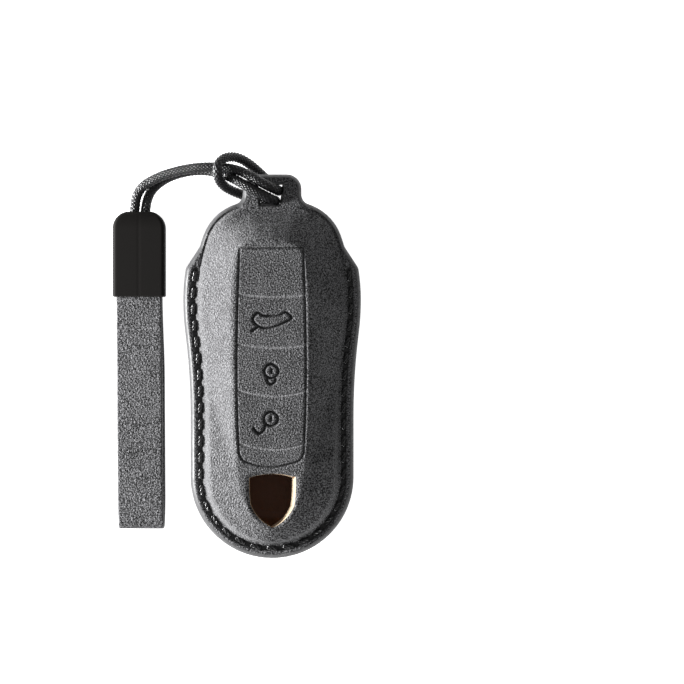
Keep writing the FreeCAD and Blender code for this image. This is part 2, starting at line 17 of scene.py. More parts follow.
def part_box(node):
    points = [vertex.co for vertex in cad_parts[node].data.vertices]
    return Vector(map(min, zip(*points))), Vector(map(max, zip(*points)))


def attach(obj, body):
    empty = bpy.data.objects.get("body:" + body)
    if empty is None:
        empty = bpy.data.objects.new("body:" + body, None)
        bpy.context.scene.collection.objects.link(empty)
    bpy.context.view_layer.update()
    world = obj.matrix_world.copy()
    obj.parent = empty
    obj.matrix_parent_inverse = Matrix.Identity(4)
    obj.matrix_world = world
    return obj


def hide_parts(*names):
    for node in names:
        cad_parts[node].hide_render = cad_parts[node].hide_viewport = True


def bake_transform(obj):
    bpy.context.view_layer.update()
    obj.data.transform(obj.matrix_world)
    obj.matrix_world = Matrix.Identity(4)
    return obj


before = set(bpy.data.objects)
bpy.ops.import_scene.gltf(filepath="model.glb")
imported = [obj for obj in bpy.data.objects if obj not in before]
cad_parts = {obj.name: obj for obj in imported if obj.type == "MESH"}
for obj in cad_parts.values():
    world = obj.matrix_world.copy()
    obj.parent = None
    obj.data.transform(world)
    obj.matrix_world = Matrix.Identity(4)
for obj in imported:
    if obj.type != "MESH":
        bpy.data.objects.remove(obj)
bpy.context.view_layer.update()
MM = 0.001
print("nodes", sorted(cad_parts))

# %% [markdown]
# ## Camera
# The cover lies on its back and is seen straight from above. A camera could stand close with a wide
# lens, but then the sides of the tall dome would lean outwards. A long lens from far away keeps
# them upright. It stands over the middle of the picture, because the cover lies left of it.

# %% Camera over the picture's middle
PICTURE_WIDTH = 167.6
PICTURE_MIDDLE = (17.15, 6.06)
FLANGE_LEVEL = 11.0
LENS, SENSOR = 200.0, 36.0


def add_object(name, data):
    """An object in the scene that shows the given data."""
    made = bpy.data.objects.new(name, data)
    bpy.context.scene.collection.objects.link(made)
    return made


camera_data = bpy.data.cameras.new("camera")
camera_data.lens, camera_data.sensor_width = LENS, SENSOR
camera = add_object("camera", camera_data)
camera_distance = PICTURE_WIDTH * LENS / SENSOR
camera.location = Vector((*PICTURE_MIDDLE, FLANGE_LEVEL + camera_distance)) * MM
bpy.context.scene.camera = camera
print("camera height", round(camera.location.z, 3))

# %% [markdown]
# ## The cord's line
# The lanyard is one cord, doubled: both ends are crimped in the cap, and the bight is hitched round
# the corner of the tab. A cord could follow straight runs with rounded corners, but that looks like
# bent wire. A NURBS spline with the route's points as its control points gives a limp line, and
# the finished line is read from the evaluated curve.

# %% Route of the cord and its smooth line
CORD_DIAMETER = 2.3
CORD_ROUTE = [
    (-34.2, 32.4, 3.7), (-34.2, 38.7, 3.7), (-33.1, 43.8, 4.8), (-28.4, 46.6, 7.0), (-22.6, 48.3, 8.9),
    (-17.2, 49.0, 10.3), (-12.8, 48.9, 10.9), (-9.0, 48.4, 11.6), (-5.7, 47.0, 12.5), (-2.7, 45.1, 12.9),
    (0.5, 43.5, 12.3), (1.9, 43.0, 9.4), (1.1, 43.7, 5.8), (-1.2, 45.9, 4.9), (-3.6, 48.2, 5.3),
    (-6.0, 50.2, 7.0), (-8.6, 51.5, 9.2), (-11.3, 51.4, 11.8), (-13.1, 49.8, 13.9), (-13.4, 47.3, 14.2),
    (-12.7, 45.2, 12.0), (-11.3, 43.9, 8.7), (-9.0, 42.9, 5.6), (-5.8, 41.8, 4.9), (-2.6, 40.9, 4.9),
    (0.2, 40.6, 6.0), (1.1, 40.65, 9.2), (0.0, 41.0, 12.2), (-2.8, 42.4, 12.9), (-5.9, 44.0, 13.0),
    (-9.4, 46.1, 11.8), (-12.9, 47.6, 8.5), (-17.0, 48.4, 7.2), (-22.0, 48.0, 5.3), (-26.8, 46.3, 4.0),
    (-30.3, 43.3, 3.6), (-31.6, 38.7, 3.7), (-31.6, 32.4, 3.7),
]
SPLINE_ORDER, SPLINE_STEPS = 3, 32


def plain_mesh(carrier):
    """The mesh that an object shows, after which the object itself is removed."""
    bpy.context.view_layer.update()
    depsgraph = bpy.context.evaluated_depsgraph_get()
    mesh = bpy.data.meshes.new_from_object(carrier.evaluated_get(depsgraph))
    bpy.data.objects.remove(carrier)
    return mesh


def spline_points(route):
    """Points on the smooth spline that has a route as its control points."""
    data = bpy.data.curves.new("line", "CURVE")
    data.dimensions = "3D"
    spline = data.splines.new("NURBS")
    spline.points.add(len(route) - 1)
    for control, place in zip(spline.points, route):
        control.co = (*(Vector(place) * MM), 1.0)
    spline.order_u = SPLINE_ORDER
    spline.use_endpoint_u = True
    spline.resolution_u = SPLINE_STEPS
    mesh = plain_mesh(add_object("line", data))
    found = np.array([vertex.co for vertex in mesh.vertices]) / MM
    bpy.data.meshes.remove(mesh)
    return found


def run_lengths(points):
    """Distance along a line to each of its points."""
    steps = np.linalg.norm(np.diff(points, axis=0), axis=1)
    return np.concatenate([[0.0], np.cumsum(steps)])


cord_line = spline_points(CORD_ROUTE)

# %% [markdown]
# ## Shader groups
# The panels and the strap share one napped surface: short fibres in tufts, so the colour is
# speckled at the size of a tuft and clouded at the size of a finger mark. The speckle is painted
# stronger where a place faces right, away from the key lamp, and weaker where it faces the lamp:
# painted light and shade on the nap. A picture of suede would stretch on the steep sides. Noise in
# object space has the same grain everywhere, and a node group holds it once for every material.
# Smooth finishes share a second group, a faint unevenness.

# %% Node helpers
FLOAT, COLOUR, VECTOR = "NodeSocketFloat", "NodeSocketColor", "NodeSocketVector"
PLAIN_ROUGHNESS = 0.5


def new_group(name, inputs, outputs, kind="ShaderNodeTree"):
    """A node group with named sockets, and its input and output nodes."""
    group = bpy.data.node_groups.new(name, kind)
    for label, socket_type, value in inputs:
        socket = group.interface.new_socket(name=label, in_out="INPUT", socket_type=socket_type)
        if value is not None:
            socket.default_value = value
    for label, socket_type in outputs:
        group.interface.new_socket(name=label, in_out="OUTPUT", socket_type=socket_type)
    return group, group.nodes.new("NodeGroupInput"), group.nodes.new("NodeGroupOutput")


def add_node(tree, kind, values=None, **settings):
    """A node with properties set by name, and inputs set or linked by name or number."""
    node = tree.nodes.new(kind)
    for key, value in settings.items():
        setattr(node, key, value)
    for key, value in (values or {}).items():
        if isinstance(value, bpy.types.NodeSocket):
            tree.links.new(value, node.inputs[key])
        else:
            node.inputs[key].default_value = value
    return node


def maths(tree, operation, *values, **settings):
    node = add_node(tree, "ShaderNodeMath", dict(enumerate(values)), operation=operation, **settings)
    return node.outputs[0]


def map_range(tree, value, taken, given):
    """A value moved from the range that it takes to the range that it gives."""
    limits = dict(zip(("From Min", "From Max", "To Min", "To Max"), (*taken, *given)))
    return add_node(tree, "ShaderNodeMapRange", {"Value": value, **limits}).outputs["Result"]


def mix_colours(tree, factor, first, second, **settings):
    values = {0: factor, 6: first, 7: second}
    return add_node(tree, "ShaderNodeMix", values, data_type="RGBA", **settings).outputs[2]


def noise(tree, place, scale, detail, roughness=PLAIN_ROUGHNESS):
    values = {"Vector": place, "Scale": scale, "Detail": detail, "Roughness": roughness}
    return add_node(tree, "ShaderNodeTexNoise", values).outputs["Fac"]


print("node helpers ready, shader groups so far", len(bpy.data.node_groups))

# %% Suede nap group
UNIT_RANGE, NOISE_RANGE = (0.0, 1.0), (0.3, 0.7)
TUFT_RANGE, CLOUD_SHADE = (0.42, 0.6), (-0.1, 0.1)
# Painted light and shade: how far a place faces right, away from the key lamp, widens the speckle.
SHADE_SIDE_RANGE, PAINTED_LIGHT_CONTRAST_RANGE = (-0.5, 0.1), (0.9, 1.75)
HALF_WAY = 0.5


def make_nap_group():
    inputs = [
        ("Vector", VECTOR, None),
        ("Facing", FLOAT, 0.0),
        ("Tuft Scale", FLOAT, 2900.0),
        ("Relief Scale", FLOAT, 2300.0),
        ("Cloud Scale", FLOAT, 160.0),
        ("Dark", COLOUR, (0.06, 0.06, 0.062, 1)),
        ("Light", COLOUR, (0.34, 0.34, 0.35, 1)),
    ]
    group, start, end = new_group("suede_nap", inputs, [("Colour", COLOUR), ("Height", FLOAT)])
    take = start.outputs
    tufts = noise(group, take["Vector"], take["Tuft Scale"], detail=2.5, roughness=0.65)
    relief = noise(group, take["Vector"], take["Relief Scale"], detail=2.0)
    clouds = noise(group, take["Vector"], take["Cloud Scale"], detail=3.0)
    spread = map_range(group, tufts, TUFT_RANGE, UNIT_RANGE)
    shade = map_range(group, clouds, NOISE_RANGE, CLOUD_SHADE)
    mixed = maths(group, "ADD", spread, shade, use_clamp=True)
    # Painted light and shade: the speckle's contrast grows where a place faces away from the key lamp.
    painted_light_contrast = map_range(group, take["Facing"], SHADE_SIDE_RANGE, PAINTED_LIGHT_CONTRAST_RANGE)
    centred = maths(group, "SUBTRACT", mixed, HALF_WAY)
    widened = maths(group, "MULTIPLY_ADD", centred, painted_light_contrast, HALF_WAY)
    colour = mix_colours(group, widened, take["Dark"], take["Light"], clamp_factor=False)
    group.links.new(colour, end.inputs["Colour"])
    group.links.new(relief, end.inputs["Height"])
    return group


nap_group = make_nap_group()
print(nap_group.name, "nodes", len(nap_group.nodes))


# %% Unevenness group for smooth finishes
def make_uneven_group():
    inputs = [
        ("Vector", VECTOR, None),
        ("Scale", FLOAT, 900.0),
        ("Roughness Low", FLOAT, 0.4),
        ("Roughness High", FLOAT, 0.55),
    ]
    outputs = [("Roughness", FLOAT), ("Height", FLOAT)]
    group, start, end = new_group("faint_unevenness", inputs, outputs)
    take = start.outputs
    uneven = noise(group, take["Vector"], take["Scale"], detail=4.0)
    rough = map_range(group, uneven, NOISE_RANGE, (take["Roughness Low"], take["Roughness High"]))
    group.links.new(rough, end.inputs["Roughness"])
    group.links.new(uneven, end.inputs["Height"])
    return group


uneven_group = make_uneven_group()
print(uneven_group.name, "nodes", len(uneven_group.nodes))

# %% [markdown]
# ## Finishes
# Suede is rough all over and takes a soft glow at glancing angles, which the sheen gives. The mesh
# carries marks for painted colour: along the burnished divider lines the suede is painted pale, a
# painted highlight for their shine, and in the frame and the signs it is painted dark, painted shade
# in those grooves. The seam's channel is painted near black, painted shade along the stitches. Its
# cut edge is sanded, dyed and smooth. Inside is a brown lining leather, with a pale raw core where a
# window is cut. Thread and cord are black with a dull shine, and the cap is soft-touch plastic.
# Each could be a material of its own. One function for suede and one for everything smooth keep
# their make-up alike, and only colours and sizes differ.

# %% Material helpers and suede
BURNISHED_SHINE, GROOVE_SHADE, SHADE_SIDE = "burnish", "groove_shade", "facing"
SUEDE_DARK, SUEDE_LIGHT = (0.064, 0.064, 0.066), (0.214, 0.214, 0.221)
# Painted colours: the pale one is a painted highlight on the burnished dividers, the dark one painted shade
# in the frame and sign grooves.
SUEDE_BURNISH_AND_SHINE, SUEDE_GROOVE_SHADE = (0.36, 0.36, 0.37), (0.02, 0.02, 0.021)
NAP_DEPTH = 0.7


def new_material(name, **constants):
    """A material with a Principled shader whose constant sockets are set by name."""
    material = bpy.data.materials.new(name)
    material.use_nodes = True
    tree = material.node_tree
    shader = tree.nodes["Principled BSDF"]
    for key, value in constants.items():
        shader.inputs[key.replace("_", " ")].default_value = value
    place = tree.nodes.new("ShaderNodeTexCoord").outputs["Object"]
    return SimpleNamespace(material=material, tree=tree, shader=shader, place=place)


def add_bump(made, height, depth, strength):
    values = {"Height": height, "Distance": depth * MM, "Strength": strength}
    bump = add_node(made.tree, "ShaderNodeBump", values)
    made.tree.links.new(bump.outputs["Normal"], made.shader.inputs["Normal"])


def make_suede(name):
    """Napped suede, painted pale on burnished lines (a painted highlight), painted dark in marked grooves
    (painted shade), and with its speckle painted stronger where it faces away from the key lamp.
    """
    made = new_material(
        name, Roughness=0.92, Sheen_Weight=0.1, Sheen_Roughness=0.45, Specular_IOR_Level=0.2
    )
    marks = {}
    for label in (BURNISHED_SHINE, GROOVE_SHADE, SHADE_SIDE):
        marks[label] = add_node(made.tree, "ShaderNodeAttribute", attribute_name=label).outputs["Fac"]
    values = {"Vector": made.place, "Facing": marks[SHADE_SIDE]}
    values |= {"Dark": (*SUEDE_DARK, 1), "Light": (*SUEDE_LIGHT, 1)}
    nap = add_node(made.tree, "ShaderNodeGroup", values, node_tree=nap_group)
    painted_shine = mix_colours(made.tree, marks[BURNISHED_SHINE], nap.outputs["Colour"], (*SUEDE_BURNISH_AND_SHINE, 1))
    groove_shaded = mix_colours(made.tree, marks[GROOVE_SHADE], painted_shine, (*SUEDE_GROOVE_SHADE, 1))
    made.tree.links.new(groove_shaded, made.shader.inputs["Base Color"])
    add_bump(made, nap.outputs["Height"], NAP_DEPTH, strength=1.0)
    return made.material


suede = make_suede("napped_suede")
print("finish", suede.name, "nodes", len(suede.node_tree.nodes))


# %% Smooth finishes
def make_smooth(name, colour, scale, rough, bump, **constants):
    """A smooth finish with the faint unevenness of the real one."""
    made = new_material(name, Base_Color=(*colour, 1), **constants)
    values = {"Vector": made.place, "Scale": scale}
    values |= {"Roughness Low": rough[0], "Roughness High": rough[1]}
    uneven = add_node(made.tree, "ShaderNodeGroup", values, node_tree=uneven_group)
    made.tree.links.new(uneven.outputs["Roughness"], made.shader.inputs["Roughness"])
    add_bump(made, uneven.outputs["Height"], bump, strength=0.5)
    print("finish", name)
    return made.material


edge_paint = make_smooth("burnished_edge", (0.065, 0.065, 0.067), scale=900, rough=(0.42, 0.6), bump=0.06)
lining = make_smooth("smooth_lining", (0.4, 0.17, 0.08), scale=1400, rough=(0.4, 0.55), bump=0.08)
# Painted shade: the seam's channel is painted near black, where shade falls between the dome and the
# flange.
channel_shade_finish = make_smooth("seam_channel_painted_shade", (0.028, 0.028, 0.029), scale=2500, rough=(0.5, 0.7), bump=0.1)
cut_core = make_smooth("cut_leather_core", (0.5, 0.39, 0.27), scale=2500, rough=(0.7, 0.9), bump=0.1)
thread = make_smooth(
    "waxed_black_thread",
    (0.016, 0.016, 0.017),
    scale=3000,
    rough=(0.24, 0.36),
    bump=0.05,
    Specular_IOR_Level=0.8,
)
cord_finish = make_smooth("black_braid", (0.009, 0.009, 0.01), scale=4000, rough=(0.26, 0.4), bump=0.03)
cap_plastic = make_smooth(
    "soft_touch_plastic",
    (0.006, 0.005, 0.0043),
    scale=5000,
    rough=(0.66, 0.76),
    bump=0.02,
    Specular_IOR_Level=0.2,
)
crimp_metal = make_smooth(
    "pressed_metal", (0.6, 0.6, 0.62), scale=1500, rough=(0.3, 0.4), bump=0.03, Metallic=1.0
)

# %% [markdown]
# ## Outlines from the frame
# The cover's plan is an oval with a tab, two ears where the seam ends and a window for the cord. It
# could be typed in again as points, but the model already holds it, and reading it there keeps the
# leather on the solids. A level cut through the flange gives the outline and the window, and a cut
# just above it gives the foot of the dome. Distances to these lines steer every height later on.

# %% Cut the frame at a level
SAME_PLACE = 1e-7


def loops_at(node, height):
    """Closed outlines in plan where a level plane cuts a node of the frame, the longest first."""
    cut = bmesh.new()
    cut.from_mesh(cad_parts[node].data)
    bmesh.ops.remove_doubles(cut, verts=cut.verts, dist=SAME_PLACE)
    bmesh.ops.bisect_plane(
        cut,
        geom=cut.verts[:] + cut.edges[:] + cut.faces[:],
        plane_co=(0, 0, height * MM),
        plane_no=(0, 0, 1),
        clear_inner=True,
        clear_outer=True,
    )
    loops, waiting = [], set(cut.verts)
    for first in cut.verts:
        chain, onward = [], [first] if first in waiting else []
        while onward:
            waiting.discard(onward[0])
            chain.append(onward[0])
            steps = [edge.other_vert(chain[-1]) for edge in chain[-1].link_edges]
            onward = [vertex for vertex in steps if vertex in waiting]
        if chain:
            loops.append(np.array([vertex.co.xy for vertex in chain]) / MM)
    cut.free()
    return sorted((turned_left(loop) for loop in loops), key=lambda loop: -run_lengths(loop)[-1])


def turned_left(loop):
    """The loop, run so that its inside lies on the left."""
    x, y = loop.T
    area = np.sum(x * np.roll(y, -1) - y * np.roll(x, -1))
    return loop if area > 0 else loop[::-1]


PARTING = 9.0
SUEDE, LINING = 1.2, 0.8
FLANGE_TOP = PARTING + SUEDE + LINING
FLANGE_FOOT = PARTING - SUEDE - LINING
LEVEL_CUT, FOOT_CUT = 0.4, 0.01
WINDOW_SHIFT = np.array([0.45, 0.0])

flange_loops = loops_at("front_lining", PARTING + LEVEL_CUT)
flange, tab_window = flange_loops[0], flange_loops[2] - WINDOW_SHIFT
dome = max(loops_at("front_panel", FLANGE_TOP + FOOT_CUT), key=lambda loop: np.ptp(loop[:, 1]))
for label, loop in (("flange", flange), ("window", tab_window), ("dome", dome)):
    print(label, loop.min(0).round(2), loop.max(0).round(2), len(loop))

# %% Even points, insets and distances
FLAT_STEP, NEAR_STEP = 0.35, 0.05


def spaced(loop, step, closed=True):
    """The same line with evenly spaced points."""
    line = np.vstack([loop, loop[:1]]) if closed else np.asarray(loop)
    along = run_lengths(line)
    count = max(3, int(round(along[-1] / step)))
    marks = np.linspace(0, along[-1], count, endpoint=not closed)
    return np.stack([np.interp(marks, along, axis) for axis in line.T], axis=1)


def inward(loop):
    """Unit normals of an evenly spaced closed loop, pointing inside."""
    tangent = np.roll(loop, -1, axis=0) - np.roll(loop, 1, axis=0)
    tangent /= np.linalg.norm(tangent, axis=1, keepdims=True)
    return np.stack([-tangent[:, 1], tangent[:, 0]], axis=1)


def ring(loop, inset, step):
    """The loop moved in by an inset, with evenly spaced points."""
    fine = spaced(loop, step)
    return spaced(fine + inward(fine) * inset, step)


def plan_tree(points):
    """A search tree for places in plan."""
    tree = kdtree.KDTree(len(points))
    for number, (x, y) in enumerate(points):
        tree.insert((x, y, 0), number)
    tree.balance()
    return tree


class Reach:
    """Distances from places in plan to a line, signed where the line is a closed outline."""

    def __init__(self, loop, closed=True):
        self.places = spaced(loop, NEAR_STEP, closed)
        self.normals = inward(self.places) if closed else None
        self.tree = plan_tree(self.places)

    def __call__(self, points):
        found = [self.tree.find((x, y, 0))[1:] for x, y in points]
        nearest = np.array([number for number, _ in found])
        distance = np.array([gap for _, gap in found])
        if self.normals is None:
            return distance
        side = np.einsum("ij,ij->i", points - self.places[nearest], self.normals[nearest])
        return np.where(side < 0, -distance, distance)


from_flange, from_dome = Reach(flange), Reach(dome)
origin = np.zeros((1, 2))
print("middle of the cover to its outline", from_flange(origin).round(2))

# %% [markdown]
# ## Shape of the moulded front
# Wet leather is pressed over a former, which leaves a steep wall, a long even slope and a flat over
# the buttons. It could be sculpted, or modelled as a subdivision surface. A height worked out for
# each place in plan is easier to steer: a profile says how high a place is by how far it lies
# between the foot of the dome and the crown. Towards the tab the wall runs out softly, and below the
# waist each flank fills out into a shoulder. Deeper layers use the profile moved in by their depth.

# %% Profiles of front and back
FRONT_PROFILE = [(0, 0), (0.45, 2.0), (1.0, 2.9), (8.3, 8.75), (9.0, 9.0), (20, 9.0)]
LOWER_PROFILE = [(0, 0), (0.5, 3.6), (1.2, 6.2), (8.3, 8.75), (9.0, 9.0), (20, 9.0)]
UPPER_PROFILE = [(0, 0), (0.45, 1.2), (1.0, 1.8), (8.3, 8.7), (9.1, 9.0), (20, 9.0)]
MOUTH_PROFILE = [(-0.6, 0), (1.0, 0.6), (3.0, 2.4), (8.3, 8.5), (9.2, 9.0), (20, 9.0)]
BACK_PROFILE = [(0, 0), (0.7, 2.3), (2.1, 4.5), (4.8, 6.5), (7.0, 7.0), (9.0, 7.0)]
PROFILE_START, PROFILE_END, PROFILE_STEP = -6.0, 30.0, 0.02
SOFT_CORNER = 1.1
SLOPE_RUN = 9.6
CROWN_SIDE = [
    (0, 30.2), (3.4, 29.9), (5.9, 29.0), (7.6, 26.8), (8.4, 22.0), (8.8, 5.0),
    (8.5, -14.0), (7.7, -24.0), (6.6, -31.0), (4.4, -35.6), (0, -37.4),
]
TINY = 1e-9


def profile_table(knots, depth):
    """Places in and heights of a profile with soft corners, moved in by a depth."""
    run = np.arange(PROFILE_START, PROFILE_END, PROFILE_STEP)
    rise = np.interp(run, *zip(*knots))
    window = np.hanning(int(SOFT_CORNER / PROFILE_STEP) | 1)
    half = len(window) // 2
    rise = np.convolve(np.pad(rise, half, mode="edge"), window / window.sum(), mode="valid")
    slope = np.gradient(rise, PROFILE_STEP)
    length = np.sqrt(1 + slope**2)
    return np.maximum.accumulate(run + depth * slope / length), rise - depth / length


def mirrored(points):
    """The same places with left and right changed over, in the opposite order."""
    return np.asarray(points)[::-1] * (-1, 1)


crown = turned_left(np.vstack([CROWN_SIDE, mirrored(CROWN_SIDE[1:-1])]))
from_crown = Reach(crown)


def slope_inset(points):
    """How far in a place lies on the slope, which runs from the foot of the dome to its crown."""
    inside = from_dome(points)
    outside_crown = np.clip(-from_crown(points), 0, None)
    up = np.clip(inside, 0, None)
    return np.where(inside > 0, SLOPE_RUN * up / (up + outside_crown + TINY), inside)


print("crown", crown.min(0), crown.max(0))

# %% Heights of the layers and the rounded rim
HIP_START, HIP_END = -4.0, -24.0
HIP_SUNK, HIP_SOFT = 3.3, 0.35
CROWN_FADE = (8.2, 9.2)
UPPER_FADE, MOUTH_FADE, MOUTH_HALF_FADE = (12, 30), (28, 37), (6, 13)
RIM_RADIUS, RIM_FLAT = 2.6, 0.95


def smooth_step(value, low, high):
    share = np.clip((value - low) / (high - low), 0, 1)
    return share * share * (3 - 2 * share)


def soft_max(first, second, width):
    """The larger of two heights, rounded where they cross."""
    share = np.clip(0.5 + 0.5 * (second - first) / width, 0, 1)
    return first + share * (second - first) + width * share * (1 - share)


def front_height(points, depth):
    """Height of a front layer's surface, a depth under the moulded face."""
    inside = slope_inset(points)
    x, y = np.abs(points[:, 0]), points[:, 1]
    side, lower, upper, mouth = (
        np.interp(inside, *profile_table(knots, depth))
        for knots in (FRONT_PROFILE, LOWER_PROFILE, UPPER_PROFILE, MOUTH_PROFILE)
    )
    sunk = HIP_SUNK * np.clip((y - HIP_END) / (HIP_START - HIP_END), 0, 1)
    shoulder = soft_max(side, lower - sunk, HIP_SOFT)
    side += (shoulder - side) * (1 - smooth_step(inside, *CROWN_FADE))
    height = side + smooth_step(y, *UPPER_FADE) * (upper - side)
    to_mouth = smooth_step(y, *MOUTH_FADE) * (1 - smooth_step(x, *MOUTH_HALF_FADE))
    return FLANGE_TOP + height + to_mouth * (mouth - height)


def back_height(points, depth):
    """Height of a back layer's surface, a depth inside the moulded face."""
    return FLANGE_FOOT - np.interp(from_dome(points), *profile_table(BACK_PROFILE, depth))


def rim_height(inset):
    """Half height of the burnished rim at an inset from the outline."""
    return np.sqrt(np.clip(RIM_RADIUS**2 - (RIM_RADIUS - np.clip(inset, 0, RIM_RADIUS)) ** 2, 0, None))


def within_rim(points, height, side):
    """A surface kept inside the rounded rim, on the front where side is 1 and the back where -1."""
    inset = from_flange(points)
    kept = PARTING + side * np.minimum(side * (height - PARTING), rim_height(inset))
    return np.where(inset < RIM_FLAT, kept, height)


print("front and back at the middle", front_height(origin, 0).round(2), back_height(origin, 0).round(2))

# %% [markdown]
# ## Embossed lines
# Over the buttons the leather is pressed with a tool: a frame, four lines between the pads and three
# small signs, a car with its tailgate up, a closed lock and an open one. A bump in the material could
# fake them, but it goes flat from the side. They are lines in plan here, and the distance to
# them gives the depth of real grooves in the mesh.

# %% Frame and dividers as lines in plan
BUTTON_TOP, BUTTON_FOOT = 28.9, -23.4
TOP_HALF, MIDDLE_HALF, FOOT_HALF = 7.7, 8.4, 7.9
FOOT_CORNER, FOOT_SAG, BEND_SHARE = 3.0, 0.9, 0.3
DIVIDERS = [(17.45, 0.5), (5.33, 0.74), (-5.94, 1.2), (-18.7, 1.35)]
LINE_STEPS = 24


def bow(start, middle, end):
    """Points on the parabola through three places."""
    share = np.linspace(0, 1, LINE_STEPS)[:, None]
    start, middle, end = (np.array(place, float) for place in (start, middle, end))
    knee = 2 * middle - (start + end) / 2
    return (1 - share) ** 2 * start + 2 * share * (1 - share) * knee + share**2 * end


def button_frame():
    hip = (FOOT_HALF, BUTTON_FOOT + FOOT_CORNER)
    heel = (FOOT_HALF - FOOT_CORNER, BUTTON_FOOT)
    bend = (FOOT_HALF - BEND_SHARE * FOOT_CORNER, BUTTON_FOOT + BEND_SHARE * FOOT_CORNER)
    waist = (MIDDLE_HALF, (BUTTON_TOP + BUTTON_FOOT) / 2)
    right = np.vstack([bow((TOP_HALF, BUTTON_TOP), waist, hip), bow(hip, bend, heel)])
    sole = bow(heel, (0, BUTTON_FOOT - FOOT_SAG), (-heel[0], heel[1]))
    return np.vstack([right, sole, mirrored(right), right[:1]])


divider_lines = [bow((-FOOT_HALF, y), (0, y - sag), (FOOT_HALF, y)) for y, sag in DIVIDERS]
print("divider lines", len(divider_lines))

# %% Signs as lines in plan
CAR_SIGN = [
    [(-4.9, 0.7), (-4.5, 1.6), (-3.6, 2.2), (-2.9, 1.9), (-2.4, 1.4), (0.8, 1.4), (2.0, 1.6)],
    [(2.0, 1.6), (2.7, 2.2), (3.6, 2.2), (4.3, 1.5), (4.6, 0.8), (3.8, 0.2), (1.6, -0.8)],
    [(1.6, -0.8), (-0.1, -1.5), (-2.5, -1.6), (-3.8, -1.0), (-4.8, 0.0), (-4.9, 0.7)],
    [(-3.5, -1.2), (-5.1, -2.3)],
]
KEYHOLE = [(0, 0.35), (0, -0.35)]
SHACKLE = [(-1.05, -1.4), (-1.05, -2.5), (0.0, -3.4), (1.05, -2.5), (1.0, -1.4)]
OPEN_SHACKLE = [(-1.35, -0.95), (-1.5, -2.5), (-2.5, -3.7), (-3.6, -3.2), (-4.1, -2.3)]
CAR_PLACE, LOCK_PLACE, OPEN_PLACE = (0.4, 11.0), (0.0, -1.0), (-0.1, -12.6)
LOCK_RADIUS = 1.7
NEAR_SHARE, FAR_SHARE = 0.75, 0.25


def arc_places(radius, turn):
    """Places on a circle at the given turns."""
    return np.stack([radius * np.cos(turn), radius * np.sin(turn)], axis=1)


def rounded(points):
    """A line with its corners cut twice, so that it bends softly."""
    line = np.array(points, float)
    for _ in range(2):
        ahead = NEAR_SHARE * line[:-1] + FAR_SHARE * line[1:]
        behind = FAR_SHARE * line[:-1] + NEAR_SHARE * line[1:]
        middle = np.stack([ahead, behind], axis=1).reshape(-1, 2)
        line = np.vstack([line[:1], middle, line[-1:]])
    return line


sign_lines = [rounded(stroke) + CAR_PLACE for stroke in CAR_SIGN]
lock_ring = arc_places(LOCK_RADIUS, np.linspace(0, 2 * math.pi, 2 * LINE_STEPS))
for place, shackle in ((LOCK_PLACE, SHACKLE), (OPEN_PLACE, OPEN_SHACKLE)):
    sign_lines += [lock_ring + place, np.array(KEYHOLE) + place, rounded(shackle) + place]
print("sign strokes", len(sign_lines))

# %% Grooves along the lines
FLOOR_SHARE = 0.1


class Grooves:
    """Pressed lines: at places in plan they give 1 on a line, falling to 0 beside it."""

    def __init__(self, lines, half_width, depth):
        self.reaches = [Reach(line, closed=False) for line in lines]
        self.half_width, self.depth = half_width, depth

    def __call__(self, points):
        gap = np.min([reach(points) for reach in self.reaches], axis=0)
        return 1 - smooth_step(gap, FLOOR_SHARE * self.half_width, self.half_width)


frame_groove = Grooves([button_frame()], half_width=0.36, depth=0.3)
divider_grooves = Grooves(divider_lines, half_width=0.42, depth=0.3)
sign_grooves = Grooves(sign_lines, half_width=0.5, depth=0.45)
pressed_lines = [frame_groove, divider_grooves, sign_grooves]
print("pressed depths", [groove.depth for groove in pressed_lines])

# %% Shield window in plan
SHIELD_TOP, SHIELD_HEIGHT, SHIELD_HALF = -26.0, 12.9, 5.3
SHIELD_SHARES = [(0.07, 1.0), (0.6, 0.93), (0.84, 0.54), (1.0, 0.0)]
CUT_SLOPE, LEAST_SLANT = 0.6, 0.1


def cut_slant(facing):
    """How much of its full slope the punched cut has, by the way that it faces."""
    return LEAST_SLANT + (1 - LEAST_SLANT) * np.clip(-facing[:, :1], 0, 1)


def shield_outline(grow):
    side = [(SHIELD_HALF * out, SHIELD_TOP - SHIELD_HEIGHT * down) for down, out in SHIELD_SHARES]
    upper, middle, lower, tip = side
    halfway = (upper[0], (upper[1] + middle[1]) / 2)
    right = np.vstack([bow(upper, halfway, middle), bow(middle, lower, tip)])
    brow = bow((-upper[0], upper[1]), (0, SHIELD_TOP), upper)
    loop = turned_left(spaced(np.vstack([right, mirrored(right), brow]), NEAR_STEP))
    facing = inward(loop)
    return spaced(loop - grow * cut_slant(facing) * facing, NEAR_STEP)


shield = shield_outline(CUT_SLOPE)
from_shield = Reach(shield)
print("shield", shield.min(0).round(2), shield.max(0).round(2))

# %% [markdown]
# ## Building a layer
# Each of the four leather layers is a sheet of even thickness with a finished rim and cut windows. A
# Solidify modifier could thicken one surface, but here the two sides of a layer have shapes of their
# own. So each layer is one closed mesh: a triangulated plan, lifted once to its upper surface and
# once to its lower one, with walls round the windows. Rings of points follow the rim, the seam and
# the foot of the dome, and an even grid fills the rest, finer where lines are pressed in.

# %% Points and triangles in plan
COARSE, FINE = 0.55, 0.24
KEEP_CLEAR_SHARE, GRID_CLEAR_SHARE = 0.55, 0.3
RIM_CLEAR, HOLE_CLEAR = 0.03, 0.12
MERGE_GAP = 1e-6


def hex_grid(low, high, step):
    """An even triangular grid of places between two corners."""
    rows = np.arange(low[1], high[1], step * math.sqrt(3) / 2)
    columns = np.arange(low[0], high[0], step)
    return np.array([(x + step / 2 * (number % 2), y) for number, y in enumerate(rows) for x in columns])


